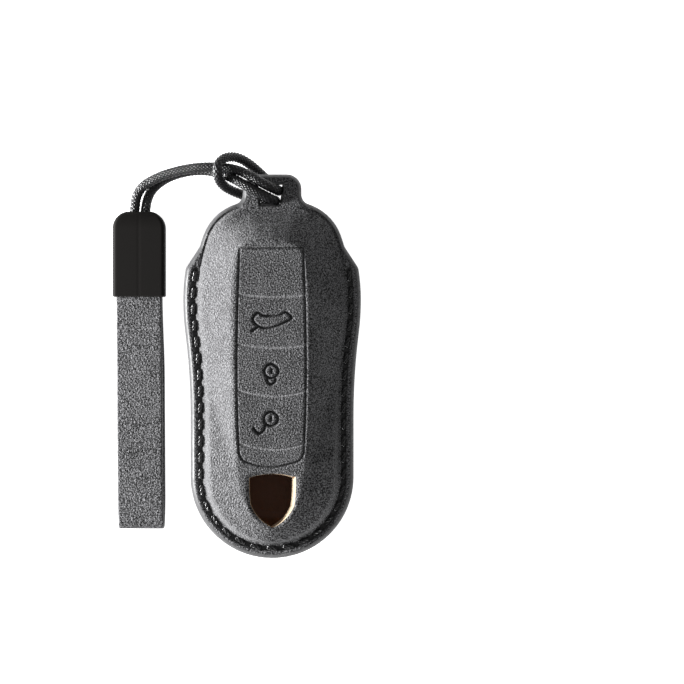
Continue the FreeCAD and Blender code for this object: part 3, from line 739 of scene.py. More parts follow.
def fill_points(outline, holes, rings, fine_box=None):
    """Rings of points first, then a grid that keeps clear of them and is finer in a box."""
    inside = Reach(outline)
    chosen = np.vstack([spaced(loop, COARSE) for loop in rings])
    chosen = chosen[inside(chosen) > RIM_CLEAR]
    grid = hex_grid(outline.min(0), outline.max(0), COARSE)
    if fine_box:
        low, high = fine_box
        in_box = np.all((grid > low) & (grid < high), axis=1)
        grid = np.vstack([grid[~in_box], hex_grid(low, high, FINE)])
    grid = grid[inside(grid) > GRID_CLEAR_SHARE * COARSE]
    tree, gap = plan_tree(chosen), KEEP_CLEAR_SHARE * (FINE if fine_box else COARSE)
    grid = grid[[tree.find((x, y, 0))[2] > gap for x, y in grid]]
    points = np.vstack([chosen, grid])
    for hole in holes:
        points = points[Reach(hole)(points) < -HOLE_CLEAR]
    return points


def triangulate(outline, holes, points):
    """Points in plan, triangles inside an outline and outside its holes, and for each point the
    number of the loop that it lies on, or -1."""
    places, edges, loop_numbers = [], [], []
    for number, loop in enumerate([outline] + holes):
        first = len(places)
        places += [Vector(place) for place in loop]
        edges += [(first + n, first + (n + 1) % len(loop)) for n in range(len(loop))]
        loop_numbers += [number] * len(loop)
    places += [Vector(place) for place in points]
    loop_numbers += [-1] * len(points)
    made = geometry.delaunay_2d_cdt(places, edges, [], 0, MERGE_GAP)
    flat = np.array([tuple(place) for place in made[0]])
    on_loop = np.array([loop_numbers[min(origins)] if origins else -1 for origins in made[3]])
    faces = np.array([face for face in made[2] if len(face) == 3])
    middles = flat[faces].mean(axis=1)
    keep = Reach(outline)(middles) > 0
    for hole in holes:
        keep &= Reach(hole)(middles) < 0
    keep &= ~((on_loop[faces] >= 0).all(axis=1) & (np.ptp(on_loop[faces], axis=1) == 0))
    return flat, faces[keep], on_loop


print("grid steps", COARSE, FINE)

# %% Mesh of one layer
EDGE_FINISH, CUT_FINISH = 1, 2


def new_mesh(name, places, faces, finishes=()):
    """A mesh through places in millimetres, with its finishes."""
    mesh = bpy.data.meshes.new(name)
    mesh.from_pydata((np.asarray(places) * MM).tolist(), [], faces)
    for finish in finishes:
        mesh.materials.append(finish)
    return mesh


def lean_holes(flat, on_loop, holes):
    """Places of the lower surface, leaned in round each hole, and the finish of each cut."""
    spread, cut_finish = flat.copy(), np.zeros(len(flat), int)
    for number, (loop, lean, finish) in enumerate(holes, start=1):
        reach = Reach(loop)
        on_hole = np.nonzero(on_loop == number)[0]
        nearest = [reach.tree.find((*flat[place], 0))[1] for place in on_hole]
        facing = reach.normals[nearest]
        slant = cut_slant(facing) if finish == CUT_FINISH else 1.0
        spread[on_hole] += lean * slant * facing
        cut_finish[on_hole] = finish
    return spread, cut_finish


def layer_mesh(name, outline, holes, points, upper, lower, finishes, seen_from=1, in_channel_shade=None):
    """A closed leather layer between two height functions. Each hole is a loop, how far its cut
    leans in towards the foot, and the number of the finish on the cut. The last finish is the
    channel's painted shade, where a test for the channel is given."""
    flat, faces, on_loop = triangulate(outline, [hole[0] for hole in holes], points)
    count, on_rim = len(flat), on_loop == 0
    top = upper(flat)
    foot = np.where(on_rim, top, np.minimum(lower(flat), top))
    spread, cut_finish = lean_holes(flat, on_loop, holes)
    places = np.vstack([np.column_stack([flat, top]), np.column_stack([spread, foot])])
    below = np.where(on_rim, np.arange(count), np.arange(count) + count)
    sides = faces[:, [0, 1, 1, 2, 2, 0]].reshape(-1, 2)
    _, which, uses = np.unique(np.sort(sides, axis=1), axis=0, return_inverse=True, return_counts=True)
    border = sides[(uses[which.ravel()] == 1) & ~on_rim[sides].any(axis=1)]
    walls = np.stack([border[:, 1], border[:, 0], below[border[:, 0]], below[border[:, 1]]], axis=1)
    middles = flat[faces].mean(axis=1)
    rim = (from_flange(middles) < RIM_FLAT).astype(int) * EDGE_FINISH
    face = np.where(in_channel_shade(middles), len(finishes) - 1, rim) if in_channel_shade else rim
    outer, inner = (face, rim) if seen_from > 0 else (rim, face)
    index = np.concatenate([outer, inner, cut_finish[border[:, 0]]])
    polygons = faces.tolist() + below[faces[:, ::-1]].tolist() + walls.tolist()
    mesh = new_mesh(name, places, polygons, finishes)
    mesh.polygons.foreach_set("material_index", index.astype(np.int32))
    return tidy_piece(name, mesh)


def tidy_piece(name, mesh, sharp=50):
    """An object from a mesh, without loose points, smooth but for edges past a sharp angle."""
    work = bmesh.new()
    work.from_mesh(mesh)
    loose = [vertex for vertex in work.verts if not vertex.link_faces]
    bmesh.ops.delete(work, geom=loose, context="VERTS")
    open_edges = sum(len(edge.link_faces) != 2 for edge in work.edges)
    volume = work.calc_volume(signed=True) / MM**3
    work.to_mesh(mesh)
    work.free()
    mesh.shade_smooth()
    mesh.set_sharp_from_angle(angle=math.radians(sharp))
    print(name, "faces", len(mesh.polygons), "open edges", open_edges, "mm3", round(volume, 1))
    return add_object(name, mesh)


# %% Marks and places of the pieces
def mark(piece, name, values):
    """Store a number at each vertex, for the finish to read."""
    attribute = piece.data.attributes.new(name, "FLOAT", "POINT")
    attribute.data.foreach_set("value", values)
    print(piece.name, name, "from", round(min(values), 2), "to", round(max(values), 2))


def mark_shade_side(piece):
    """Store how far each place faces right, away from the key lamp, which sets the nap's painted light and
    shade.
    """
    mark(piece, SHADE_SIDE, [vertex.normal.x for vertex in piece.data.vertices])


def dress(piece, node, body="cover"):
    """The piece stands for a node of the frame, and moves with its body."""
    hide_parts(node)
    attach(piece, body)


# %% [markdown]
# ## Front
# The front is the piece that the hand meets: moulded suede over a brown lining, glued face to face.
# Creases and the seam's channel are pressed into the height like the buttons' lines, so the light
# finds them from any side, and the channel is also painted near black: painted shade along the
# stitches. The panel is cut back a little where the rim is rounded, and the shield window is punched
# at a slant, so the pale core of the leather shows.

# %% Faces of the front panel
SEAM_OFFSET, SEAM_HALF, SEAM_DEPTH, SEAM_FLOOR_SHARE = 1.25, 0.95, 0.5, 0.35
SEAM_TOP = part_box("front_stitches")[1].y / MM
SEAM_END_FADE = (SEAM_TOP - 0.6, SEAM_TOP + 1.0)
CHANNEL_SHADE_HALF = 0.65
CREASE_OFFSET, CREASE_DEPTH, CREASE_FADE = 0.25, 0.4, (0.1, 0.4)
CREASE_START, CREASE_HALF_FADE = (SEAM_TOP - 6, SEAM_TOP), (5.5, 8.5)
SHIELD_ROLL, SHIELD_ROLL_WIDTH = 0.3, 0.7
PRESSED_MIDDLE, PRESSED_HALF = (0, 2.5), (10, 29)


def seam_channel(points, inside):
    """Depth of the pressed channel that the stitches lie in."""
    gap = np.abs(inside + SEAM_OFFSET)
    along = 1 - smooth_step(points[:, 1], *SEAM_END_FADE)
    return SEAM_DEPTH * (1 - smooth_step(gap, SEAM_FLOOR_SHARE * SEAM_HALF, SEAM_HALF)) * along


def channel_shade_zone(points):
    """Where the channel is painted near black: painted shade along the stitches."""
    return (np.abs(from_dome(points) + SEAM_OFFSET) < CHANNEL_SHADE_HALF) & (points[:, 1] < SEAM_TOP)


def shoulder_crease(points, inside):
    """Depth of the fold along the foot of the dome, above the ends of the seam."""
    gap = np.abs(inside + CREASE_OFFSET)
    above = smooth_step(points[:, 1], *CREASE_START)
    beside_tab = smooth_step(np.abs(points[:, 0]), *CREASE_HALF_FADE)
    return CREASE_DEPTH * (1 - smooth_step(gap, *CREASE_FADE)) * above * beside_tab


def front_face(points):
    inside = from_dome(points)
    height = front_height(points, 0)
    height -= seam_channel(points, inside) + shoulder_crease(points, inside)
    near = np.all(np.abs(points - PRESSED_MIDDLE) < PRESSED_HALF, axis=1)
    for groove in pressed_lines:
        height[near] -= groove.depth * groove(points[near])
    height -= SHIELD_ROLL * (1 - smooth_step(np.abs(from_shield(points)), 0, SHIELD_ROLL_WIDTH))
    return within_rim(points, height, side=1)


def front_middle(points):
    """The glued face between the front panel and its lining."""
    return within_rim(points, front_height(points, SUEDE), side=1)


def front_inside(points):
    return front_height(points, SUEDE + LINING)


print("seam ends at", round(SEAM_TOP, 2))

# %% Rings of points that the layers share
RIM_RINGS = [0.06, 0.16, 0.3, 0.48, 0.7, 0.94, 1.15]
LINING_RIM_RINGS = 3
SEAM_RINGS = [-2.3, -2.0, -1.75, -1.4, -1.1, -0.75, -0.5, -0.25, -0.1, 0.05, 0.2, 0.4, 0.65, 1.0, 1.5, 2.1]
WALL_RINGS = [-0.3, 0.0, 0.3, 0.6, 0.9, 1.2, 1.5, 1.8, 2.1, 2.4, 2.8, 3.3, 4.0]
SHIELD_RINGS = [-0.25, -0.5, -0.75]
PANEL_INSET = RIM_RADIUS - math.sqrt(RIM_RADIUS**2 - LINING**2)


def rings(loop, insets):
    return [ring(loop, inset, FLAT_STEP) for inset in insets]


panel_outline = ring(flange, PANEL_INSET, FLAT_STEP)
flange_outline, window_loop, shield_loop, lining_loop = (
    spaced(loop, FLAT_STEP) for loop in (flange, tab_window, shield, shield_outline(0))
)
rim_rings = rings(flange, [PANEL_INSET + inset for inset in RIM_RINGS])
panel_rings = rings(dome, SEAM_RINGS) + rim_rings
lining_rings = rings(dome, WALL_RINGS) + rim_rings[:LINING_RIM_RINGS]
print("rings in a panel", len(panel_rings), "and in a lining", len(lining_rings))

# %% Front panel and its lining
FINE_BOX = ((-9.6, -25.6), (9.6, 30.2))
WINDOW_LEAN, WALL_LEAN = 0.6, 0.35
GROOVE_SHADE_SHARE = 0.8

front_panel = layer_mesh(
    "front_panel_suede",
    panel_outline,
    [(window_loop, WINDOW_LEAN, EDGE_FINISH), (shield_loop, CUT_SLOPE, CUT_FINISH)],
    fill_points(
        panel_outline, [window_loop, shield_loop], panel_rings + rings(shield, SHIELD_RINGS), FINE_BOX
    ),
    front_face,
    front_middle,
    [suede, edge_paint, cut_core, channel_shade_finish],
    in_channel_shade=channel_shade_zone,
)
panel_places = np.array([vertex.co.xy for vertex in front_panel.data.vertices]) / MM
# Painted marks: a pale painted highlight along the burnished dividers, and dark painted shade in the frame
# and the signs' grooves.
shaded_groove_lines = np.maximum(frame_groove(panel_places), sign_grooves(panel_places))
mark(front_panel, BURNISHED_SHINE, divider_grooves(panel_places))
mark(front_panel, GROOVE_SHADE, GROOVE_SHADE_SHARE * shaded_groove_lines)
mark_shade_side(front_panel)
dress(front_panel, "front_panel")

front_lining = layer_mesh(
    "front_lining_leather",
    flange_outline,
    [(window_loop, 0.0, EDGE_FINISH), (lining_loop, WALL_LEAN, CUT_FINISH)],
    fill_points(flange_outline, [window_loop, lining_loop], lining_rings),
    front_middle,
    front_inside,
    [lining, edge_paint, cut_core],
)
dress(front_lining, "front_lining")

# %% [markdown]
# ## Back
# The back is moulded shallower and flat, so that the cover lies still. It could be the front turned
# over, but it has no buttons and no shield, so it is made in the same way from a profile of its own,
# with the seam pressed in from below. Its lining is what shows, dark brown, through the shield window.


# %% Back panel and its lining
def back_face(points):
    height = back_height(points, 0) + seam_channel(points, from_dome(points))
    return within_rim(points, height, side=-1)


def back_middle(points):
    """The glued face between the back panel and its lining."""
    return within_rim(points, back_height(points, SUEDE), side=-1)


def back_inside(points):
    return back_height(points, SUEDE + LINING)


back_holes = [(window_loop, 0.0, EDGE_FINISH)]
back_panel = layer_mesh(
    "back_panel_suede",
    panel_outline,
    back_holes,
    fill_points(panel_outline, [window_loop], panel_rings),
    back_middle,
    back_face,
    [suede, edge_paint, channel_shade_finish],
    seen_from=-1,
    in_channel_shade=channel_shade_zone,
)
mark_shade_side(back_panel)
dress(back_panel, "back_panel")

back_lining = layer_mesh(
    "back_lining_leather",
    flange_outline,
    back_holes,
    fill_points(flange_outline, [window_loop], lining_rings),
    back_inside,
    back_middle,
    [lining, edge_paint],
)
dress(back_lining, "back_lining")

# %% [markdown]
# ## Saddle stitches
# A saddle stitch is worked with two needles, so the same slanted stitches show on both sides. Each
# one is a short run of waxed three-ply thread that comes out of one hole and dives into the next.
# They could be copied in a loop. One stitch is modelled instead, and Geometry Nodes sets it along the
# seam, so the count, the slant and a little hand-made unevenness are inputs that are easy to change.

# %% One stitch of twisted thread
STITCH_LENGTH, PLY_RADIUS, PLY_OFFSET, TWIST = 3.5, 0.26, 0.27, 3.4
PLIES, STITCH_RINGS, PLY_SIDES = 3, 26, 10
STITCH_DIVE, DIVE_SHARES = 0.75, (0.62, 1.0)
END_SHARE, FLAT_SHARE = 0.72, 0.7


def tube_faces(rows, sides, first=0):
    """Quads of a tube, with both ends closed."""
    faces = []
    for row in range(rows - 1):
        for side in range(sides):
            a, b = row * sides + side, row * sides + (side + 1) % sides
            faces.append((first + a, first + b, first + b + sides, first + a + sides))
    faces.append(tuple(first + side for side in reversed(range(sides))))
    faces.append(tuple(first + (rows - 1) * sides + side for side in range(sides)))
    return faces


def make_stitch():
    share = np.linspace(-1, 1, STITCH_RINGS)
    along = share * STITCH_LENGTH / 2
    dive = -STITCH_DIVE * smooth_step(np.abs(share), *DIVE_SHARES)
    turn = np.linspace(0, 2 * math.pi, PLY_SIDES, endpoint=False)
    swell = END_SHARE + (1 - END_SHARE) * np.sqrt(np.clip(1 - share**2, 0, 1))
    radius = PLY_RADIUS * swell
    places, faces = [], []
    for ply in np.arange(PLIES) * 2 * math.pi / PLIES:
        angle = 2 * math.pi * along / TWIST + ply
        middle_y = PLY_OFFSET * swell * np.cos(angle)
        middle_z = PLY_OFFSET * FLAT_SHARE * swell * np.sin(angle) + dive
        x = np.repeat(along[:, None], PLY_SIDES, axis=1)
        y = middle_y[:, None] + radius[:, None] * np.cos(turn)
        z = middle_z[:, None] + radius[:, None] * np.sin(turn)
        faces += tube_faces(STITCH_RINGS, PLY_SIDES, first=len(places))
        places += np.stack([x, y, z], axis=2).reshape(-1, 3).tolist()
    mesh = new_mesh("stitch", places, faces)
    mesh.shade_smooth()
    return bpy.data.objects.new("stitch", mesh)


stitch = make_stitch()
print("stitch faces", len(stitch.data.polygons))

# %% Tree that sets stitches along a seam
GEOMETRY, MATERIAL = "NodeSocketGeometry", "NodeSocketMaterial"
OBJECT, WHOLE = "NodeSocketObject", "NodeSocketInt"
WOBBLE_SEED = 7


def stitch_tree():
    kinds = {"Seam": GEOMETRY, "Stitch": OBJECT, "Count": WHOLE}
    kinds |= {"Slant": FLOAT, "Unevenness": FLOAT, "Thread": MATERIAL}
    inputs = [(label, kind, None) for label, kind in kinds.items()]
    tree, start, end = new_group(
        "stitches_along_seam", inputs, [("Stitches", GEOMETRY)], kind="GeometryNodeTree"
    )
    take = start.outputs
    curve = add_node(tree, "GeometryNodeMeshToCurve", {"Mesh": take["Seam"]}).outputs["Curve"]
    even = add_node(tree, "GeometryNodeResampleCurve", {"Curve": curve, "Count": take["Count"]})
    tangent = add_node(tree, "GeometryNodeInputTangent").outputs["Tangent"]
    aim = add_node(tree, "FunctionNodeAlignRotationToVector", {"Vector": tangent}, axis="X", pivot_axis="Z")
    least = maths(tree, "MULTIPLY", take["Unevenness"], -1.0)
    limits = {2: least, 3: take["Unevenness"], "Seed": WOBBLE_SEED}
    wobble = add_node(tree, "FunctionNodeRandomValue", limits, data_type="FLOAT").outputs[1]
    lean = maths(tree, "ADD", take["Slant"], wobble)
    turn = add_node(tree, "FunctionNodeAxisAngleToRotation", {"Angle": lean}).outputs["Rotation"]
    turns = {"Rotation": aim.outputs["Rotation"], "Rotate By": turn}
    both = add_node(tree, "FunctionNodeRotateRotation", turns, rotation_space="LOCAL")
    source = add_node(tree, "GeometryNodeObjectInfo", {"Object": take["Stitch"]})
    values = {"Points": even.outputs["Curve"], "Instance": source.outputs["Geometry"]}
    values |= {"Rotation": both.outputs["Rotation"]}
    placed = add_node(tree, "GeometryNodeInstanceOnPoints", values).outputs["Instances"]
    real = add_node(tree, "GeometryNodeRealizeInstances", {"Geometry": placed}).outputs["Geometry"]
    values = {"Geometry": real, "Material": take["Thread"]}
    painted = add_node(tree, "GeometryNodeSetMaterial", values)
    tree.links.new(painted.outputs["Geometry"], end.inputs["Stitches"])
    return tree


seam_tree = stitch_tree()
print(seam_tree.name, "nodes", len(seam_tree.nodes))

# %% Front and back rows
STITCHES = 39
STITCH_SLANT, STITCH_UNEVEN = math.radians(7), math.radians(3)
STITCH_SINK = 0.12


def seam_line(height):
    """The seam from the first stitch's middle to the last one's, at a height."""
    whole = ring(dome, -SEAM_OFFSET, NEAR_STEP)
    ordered = np.roll(whole, -np.argmax(whole[:, 1]), axis=0)
    sewn = ordered[ordered[:, 1] < SEAM_TOP]
    along = run_lengths(sewn)
    margin = along[-1] / STITCHES / 2
    kept = spaced(sewn[(along > margin) & (along < along[-1] - margin)], FLAT_STEP, closed=False)
    return np.column_stack([kept, np.full(len(kept), height)])


def line_object(name, places):
    """An object of edges through places."""
    mesh = bpy.data.meshes.new(name)
    edges = [(number, number + 1) for number in range(len(places) - 1)]
    mesh.from_pydata((places * MM).tolist(), edges, [])
    return add_object(name, mesh)


def run_nodes(carrier, tree, values):
    """The plain mesh that a geometry node tree makes on an object, which is then removed."""
    modifier = carrier.modifiers.new("nodes", "NODES")
    modifier.node_group = tree
    for item in tree.interface.items_tree:
        if item.in_out == "INPUT" and item.name in values:
            modifier[item.identifier] = values[item.name]
    return plain_mesh(carrier)


for side, level, slant in (
    ("front", FLANGE_TOP - STITCH_SINK, -STITCH_SLANT),
    ("back", FLANGE_FOOT + STITCH_SINK, STITCH_SLANT),
):
    settings = {"Stitch": stitch, "Count": STITCHES, "Slant": slant}
    settings |= {"Unevenness": STITCH_UNEVEN, "Thread": thread}
    row_mesh = run_nodes(line_object("seam", seam_line(level)), seam_tree, settings)
    if side == "back":
        flipped = np.array([vertex.co for vertex in row_mesh.vertices])
        flipped[:, 2] = 2 * level * MM - flipped[:, 2]
        row_mesh.vertices.foreach_set("co", flipped.ravel())
        row_mesh.flip_normals()
    row = tidy_piece(f"{side}_stitch_row", row_mesh, sharp=80)
    dress(row, f"{side}_stitches")

# %% [markdown]
# ## Braided cord
# Sixteen strands cross over and under each other round the cord, eight each way. Each strand could be
# a curve of its own, but that is heavy for so small a thing. One tube is swept along the cord's line
# instead, and its radius rises and falls with the weave, so the braid is still real geometry.

# %% Sweep the braid
BRAID_SIDES, BRAID_RING = 56, 0.13
STRANDS, LAY = 8, 7.6
BRAID_DEPTH, BRAID_LEVEL = 0.3, 0.7
CROSSING, STRAND_ROUND = 0.35, 0.7


def frames_along(points):
    """Side and up at each point of a line, carried along without twist."""
    tangents = np.gradient(points, axis=0)
    tangents /= np.linalg.norm(tangents, axis=1, keepdims=True)
    side = np.cross(tangents[0], (0.0, 0.0, 1.0))
    sides = []
    for tangent in tangents:
        side = side - tangent * np.dot(side, tangent)
        side /= np.linalg.norm(side)
        sides.append(side)
    return np.array(sides), np.cross(tangents, sides)


def weave(along, turn):
    """Relief of the braid between 0 and 1 at a place along and round the cord."""
    left = STRANDS * (turn / (2 * math.pi) + along / LAY)
    right = STRANDS * (turn / (2 * math.pi) - along / LAY)
    over = np.sin(math.pi * (left + right)) * np.sin(math.pi * (left - right))
    bulge_left, bulge_right = (np.abs(np.cos(math.pi * way)) ** STRAND_ROUND for way in (left, right))
    share = smooth_step(over, -CROSSING, CROSSING)
    return share * bulge_left + (1 - share) * bulge_right


braid_line = spaced(cord_line, BRAID_RING, closed=False)
sides, ups = frames_along(braid_line)
turn = np.linspace(0, 2 * math.pi, BRAID_SIDES, endpoint=False)
relief = weave(run_lengths(braid_line)[:, None], turn[None, :])
radius = (CORD_DIAMETER / 2 + BRAID_DEPTH * (relief - BRAID_LEVEL))[..., None]
out = np.cos(turn)[None, :, None] * sides[:, None, :] + np.sin(turn)[None, :, None] * ups[:, None, :]
braid_places = (braid_line[:, None, :] + radius * out).reshape(-1, 3)
braid_faces = tube_faces(len(braid_line), BRAID_SIDES)
braid = new_mesh("lanyard_braid", braid_places, braid_faces, [cord_finish])
cord = tidy_piece("lanyard_braid", braid, sharp=85)

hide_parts("lanyard_cord")
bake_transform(cord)

# %% [markdown]
# ## Wrist strap
# The strap is one strip of suede, folded in half at its foot, with both ends glued in the cap. It
# could be a bent plane with a Solidify modifier, but its rounded edges need a section of their own,
# so that section is swept along the side view: two layers that close towards the fold. The lower
# layer lies a hair to the right of the upper one, and the edges are burnished like the cover's.

# %% Side view and section of the strap
STRAP_X, CAP_AXIS = -32.9, 3.7
STRAP_WIDTH, STRAP_DEPTH, EDGE_ROUND = 11.3, 1.4, 0.45
TAIL_Y, MOUTH_Y, FOLD_Y = 29.2, 17.2, -38.45
LAYER_OFFSET, FOLD_RADIUS = 2.0, 0.95
STRAP_STEP, FOLD_POINTS, EDGE_POINTS, FACE_POINTS = 0.5, 17, 5, 24


def strap_side_view():
    """Middle line of the strip in side view, as places along Y and Z."""
    fold_middle = (FOLD_Y, FOLD_RADIUS + STRAP_DEPTH / 2)
    fold = fold_middle + arc_places(FOLD_RADIUS, np.linspace(math.pi / 2, 3 * math.pi / 2, FOLD_POINTS))
    upper = [(TAIL_Y, CAP_AXIS + LAYER_OFFSET), (MOUTH_Y, CAP_AXIS + LAYER_OFFSET)]
    lower = [(MOUTH_Y, CAP_AXIS - LAYER_OFFSET), (TAIL_Y, CAP_AXIS - LAYER_OFFSET)]
    return spaced(np.vstack([upper, fold, lower]), STRAP_STEP, closed=False)


def strip_section():
    """Outline of the strip across its width: flat faces and rounded edges."""
    flat_half, half_depth = STRAP_WIDTH / 2 - EDGE_ROUND, STRAP_DEPTH / 2
    quarter = arc_places(EDGE_ROUND, np.linspace(0, math.pi / 2, EDGE_POINTS))
    corner = quarter + (flat_half, half_depth - EDGE_ROUND)
    across = np.linspace(flat_half, -flat_half, FACE_POINTS)[1:-1]
    face = np.stack([across, np.full(len(across), half_depth)], axis=1)
    upper = np.vstack([corner, face, mirrored(corner)])
    return np.vstack([upper, upper[::-1] * (1, -1)])


side_view, section = strap_side_view(), strip_section()
strip_run = run_lengths(side_view)
strip_length = float(strip_run[-1])
print("strip length", round(strip_length, 1))

# %% Fold the strap
STRAP_TURN = math.radians(0.25)
LOWER_SHIFT, SHIFT_RUN, SHIFT_SHARES = 0.45, 20, (0.44, 0.56)
BURNISHED_SHARE = 0.8


def strap_mesh():
    tangent = np.gradient(side_view, axis=0)
    tangent /= np.linalg.norm(tangent, axis=1, keepdims=True)
    out = np.stack([tangent[:, 1], -tangent[:, 0]], axis=1)
    shift = LOWER_SHIFT * smooth_step(strip_run / strip_length, *SHIFT_SHARES)
    shift *= smooth_step(MOUTH_Y - side_view[:, 0], 0, SHIFT_RUN)
    y = side_view[:, 0, None] + out[:, 0, None] * section[None, :, 1]
    z = side_view[:, 1, None] + out[:, 1, None] * section[None, :, 1]
    x = STRAP_X + section[None, :, 0] + shift[:, None] - STRAP_TURN * np.minimum(y - MOUTH_Y, 0)
    places = np.stack([x, y, z], axis=2).reshape(-1, 3)
    faces = tube_faces(len(side_view), len(section))
    mesh = new_mesh("strap_strip", places, faces, [suede, edge_paint])
    edge = np.abs(section[:, 0]) > STRAP_WIDTH / 2 - BURNISHED_SHARE * EDGE_ROUND
    edge = edge & np.roll(edge, -1)
    index = np.concatenate([np.tile(edge, len(side_view) - 1), [True, True]])
    mesh.polygons.foreach_set("material_index", index.astype(np.int32))
    return mesh


strap = tidy_piece("strap_strip", strap_mesh(), sharp=60)
mark_shade_side(strap)
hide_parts("wrist_strap")
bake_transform(strap)

# %% [markdown]
# ## Cap and crimp
# The cap is a soft-touch moulding with a rounded top, a slot for the two cord ends and an open foot
# for the strap. It could be a bevelled box with two holes cut in it, but cuts leave rough edges. Its
# section is a rounded rectangle all the way, so it is lofted: one closed chain of rings runs up the
# outside, over the top, down through the slot and back down the pocket. The mould leaves a faint
# line up the middle. The crimp inside is the frame's own shape with a metal finish.

# %% Rings of the cap
CAP_FOOT, CAP_TOP, CAP_ROOF = 17.2, 38.2, 35.2
CAP_HALF, CAP_HALF_DEPTH, CAP_EDGE = 6.45, 3.7, 0.9
SHOULDER_WIDTH, SHOULDER_RISE, SHOULDER_DEPTH, SHOULDER_EDGE = 4.1, 4.2, 2.3, 0.3
SHOULDER_TURN = math.radians(79)
SLOT_HALF, SLOT_HALF_DEPTH, SLOT_EDGE, SLOT_LIP = 2.5, 1.2, 1.19, 0.02
POCKET_HALF, POCKET_HALF_DEPTH, POCKET_EDGE = 5.75, 2.8, 0.3
FOOT_ROUND, MOULD_LINE = 0.25, 0.035
SIDE_POINTS, CORNER_POINTS, WALL_ROWS, SHOULDER_ROWS = 32, 8, 12, 14


def cap_ring(y, half, half_depth, edge, line=0.0):
    """A rounded rectangle round the cap's axis, with the mould's line on its two faces."""
    flat_half = half - edge
    corner = arc_places(edge, np.linspace(0, math.pi / 2, CORNER_POINTS)) + (flat_half, half_depth - edge)
    across = np.linspace(flat_half, -flat_half, SIDE_POINTS + 1)[1:-1]
    depth = np.where(np.abs(across) < flat_half / SIDE_POINTS, half_depth - line, half_depth)
    front = np.vstack([corner, np.stack([across, depth], axis=1), mirrored(corner)])
    x, z = np.vstack([front, -front]).T
    return np.column_stack([STRAP_X + x, np.full(len(x), y), CAP_AXIS + z])


def cap_rings():
    chain = [cap_ring(CAP_FOOT, CAP_HALF - FOOT_ROUND, CAP_HALF_DEPTH - FOOT_ROUND, CAP_EDGE)]
    shoulder = CAP_TOP - SHOULDER_RISE
    for y in np.linspace(CAP_FOOT + FOOT_ROUND, shoulder, WALL_ROWS):
        chain.append(cap_ring(y, CAP_HALF, CAP_HALF_DEPTH, CAP_EDGE, MOULD_LINE))
    for turn in np.linspace(0, SHOULDER_TURN, SHOULDER_ROWS)[1:]:
        inset = 1 - math.cos(turn)
        half = CAP_HALF - SHOULDER_WIDTH * inset
        half_depth = CAP_HALF_DEPTH - SHOULDER_DEPTH * inset
        edge = CAP_EDGE - SHOULDER_EDGE * inset
        y = shoulder + SHOULDER_RISE * math.sin(turn) / math.sin(SHOULDER_TURN)
        chain.append(cap_ring(y, half, half_depth, edge, MOULD_LINE * (1 - inset)))
    slot = (SLOT_HALF, SLOT_HALF_DEPTH, SLOT_EDGE)
    pocket = (POCKET_HALF, POCKET_HALF_DEPTH, POCKET_EDGE)
    chain += [cap_ring(CAP_TOP - SLOT_LIP, *slot), cap_ring(CAP_ROOF, *slot)]
    return chain + [cap_ring(CAP_ROOF, *pocket), cap_ring(CAP_FOOT, *pocket)]


cap_chain = cap_rings()
print("cap rings", len(cap_chain), "of", len(cap_chain[0]), "points")


# %% Loft the cap and finish the crimp
def loft_faces(rows, sides):
    """Quads between the rings of a chain that comes back to its first one."""
    faces = []
    for row in range(rows):
        here, after = row * sides, (row + 1) % rows * sides
        for side in range(sides):
            across = (side + 1) % sides
            faces.append((here + side, after + side, after + across, here + across))
    return faces


cap_faces = loft_faces(len(cap_chain), len(cap_chain[0]))
cap_shell = new_mesh("cap_moulding", np.vstack(cap_chain), cap_faces, [cap_plastic])
cap = tidy_piece("cap_moulding", cap_shell, sharp=40)
dress(cap, "strap_cap", body="cap")

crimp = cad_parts["cord_crimp"]
crimp.data.materials.clear()
crimp.data.materials.append(crimp_metal)
print("crimp faces", len(crimp.data.polygons))

# %% [markdown]
# ## Floor and light
# The picture is a cut-out on pure white with hardly a shadow. Strong light on a floor could make it
# white, but it would bleach the suede too. So the floor glows white for the camera and for
# reflections only, and still takes a soft shadow. A strong lamp stands low at the left, near enough
# that the strap gets more of it than the cover, a weak one fills the foot of the cover, and a dim
# sky fills the rest.

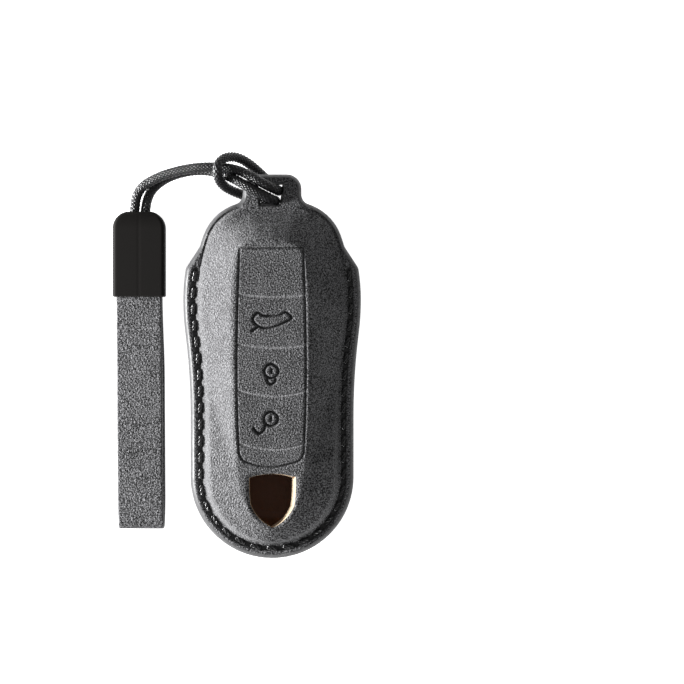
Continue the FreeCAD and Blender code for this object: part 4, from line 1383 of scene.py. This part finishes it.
# %% White floor
FLOOR_HALF, FLOOR_GAP = 1500.0, 0.2
FLOOR_WHITE, PAPER = 0.93, 0.9
WHITE = (1, 1, 1, 1)


def white_rays(tree):
    """1 for rays from the camera, from reflections and through glass, 0 for the light's own."""
    path = tree.nodes.new("ShaderNodeLightPath")
    total = path.outputs["Is Camera Ray"]
    for name in ("Is Glossy Ray", "Is Transmission Ray"):
        total = maths(tree, "MAXIMUM", total, path.outputs[name])
    return total


paper = new_material(
    "white_paper",
    Base_Color=(PAPER, PAPER, PAPER, 1),
    Roughness=1.0,
    Specular_IOR_Level=0.0,
    Emission_Color=WHITE,
)
glow = maths(paper.tree, "MULTIPLY", white_rays(paper.tree), FLOOR_WHITE)
paper.tree.links.new(glow, paper.shader.inputs["Emission Strength"])
floor_signs = [(-1, -1), (1, -1), (1, 1), (-1, 1)]
floor_corners = [(x * FLOOR_HALF, y * FLOOR_HALF, -FLOOR_GAP) for x, y in floor_signs]
floor = add_object("floor", new_mesh("floor", floor_corners, [(0, 1, 2, 3)], [paper.material]))
print("floor", floor.data.materials[0].name)

# %% Sky and lamps
SKY_LEVEL = 0.26
LAMP_TARGET = (0, 0, 10)

sky = bpy.data.worlds.new("sky")
sky.use_nodes = True
backdrop = sky.node_tree.nodes["Background"]
backdrop.inputs["Color"].default_value = WHITE
seen = sky.node_tree.nodes.new("ShaderNodeLightPath").outputs["Is Camera Ray"]
strength = map_range(sky.node_tree, seen, UNIT_RANGE, (SKY_LEVEL, 1.0))
sky.node_tree.links.new(strength, backdrop.inputs["Strength"])
bpy.context.scene.world = sky


def area_lamp(name, place, width, height, power):
    data = bpy.data.lights.new(name, "AREA")
    data.shape = "RECTANGLE"
    data.size, data.size_y, data.energy = width * MM, height * MM, power
    lamp = add_object(name, data)
    lamp.location = Vector(place) * MM
    lamp.rotation_euler = (Vector(LAMP_TARGET) - Vector(place)).to_track_quat("-Z", "Y").to_euler()
    print("lamp", name, "watts", power)


area_lamp("key", (-360, 0, 66), width=160, height=50, power=5.4)
area_lamp("fill", (20, -340, 60), width=50, height=20, power=0.42)
bpy.context.scene.view_settings.view_transform = "Standard"
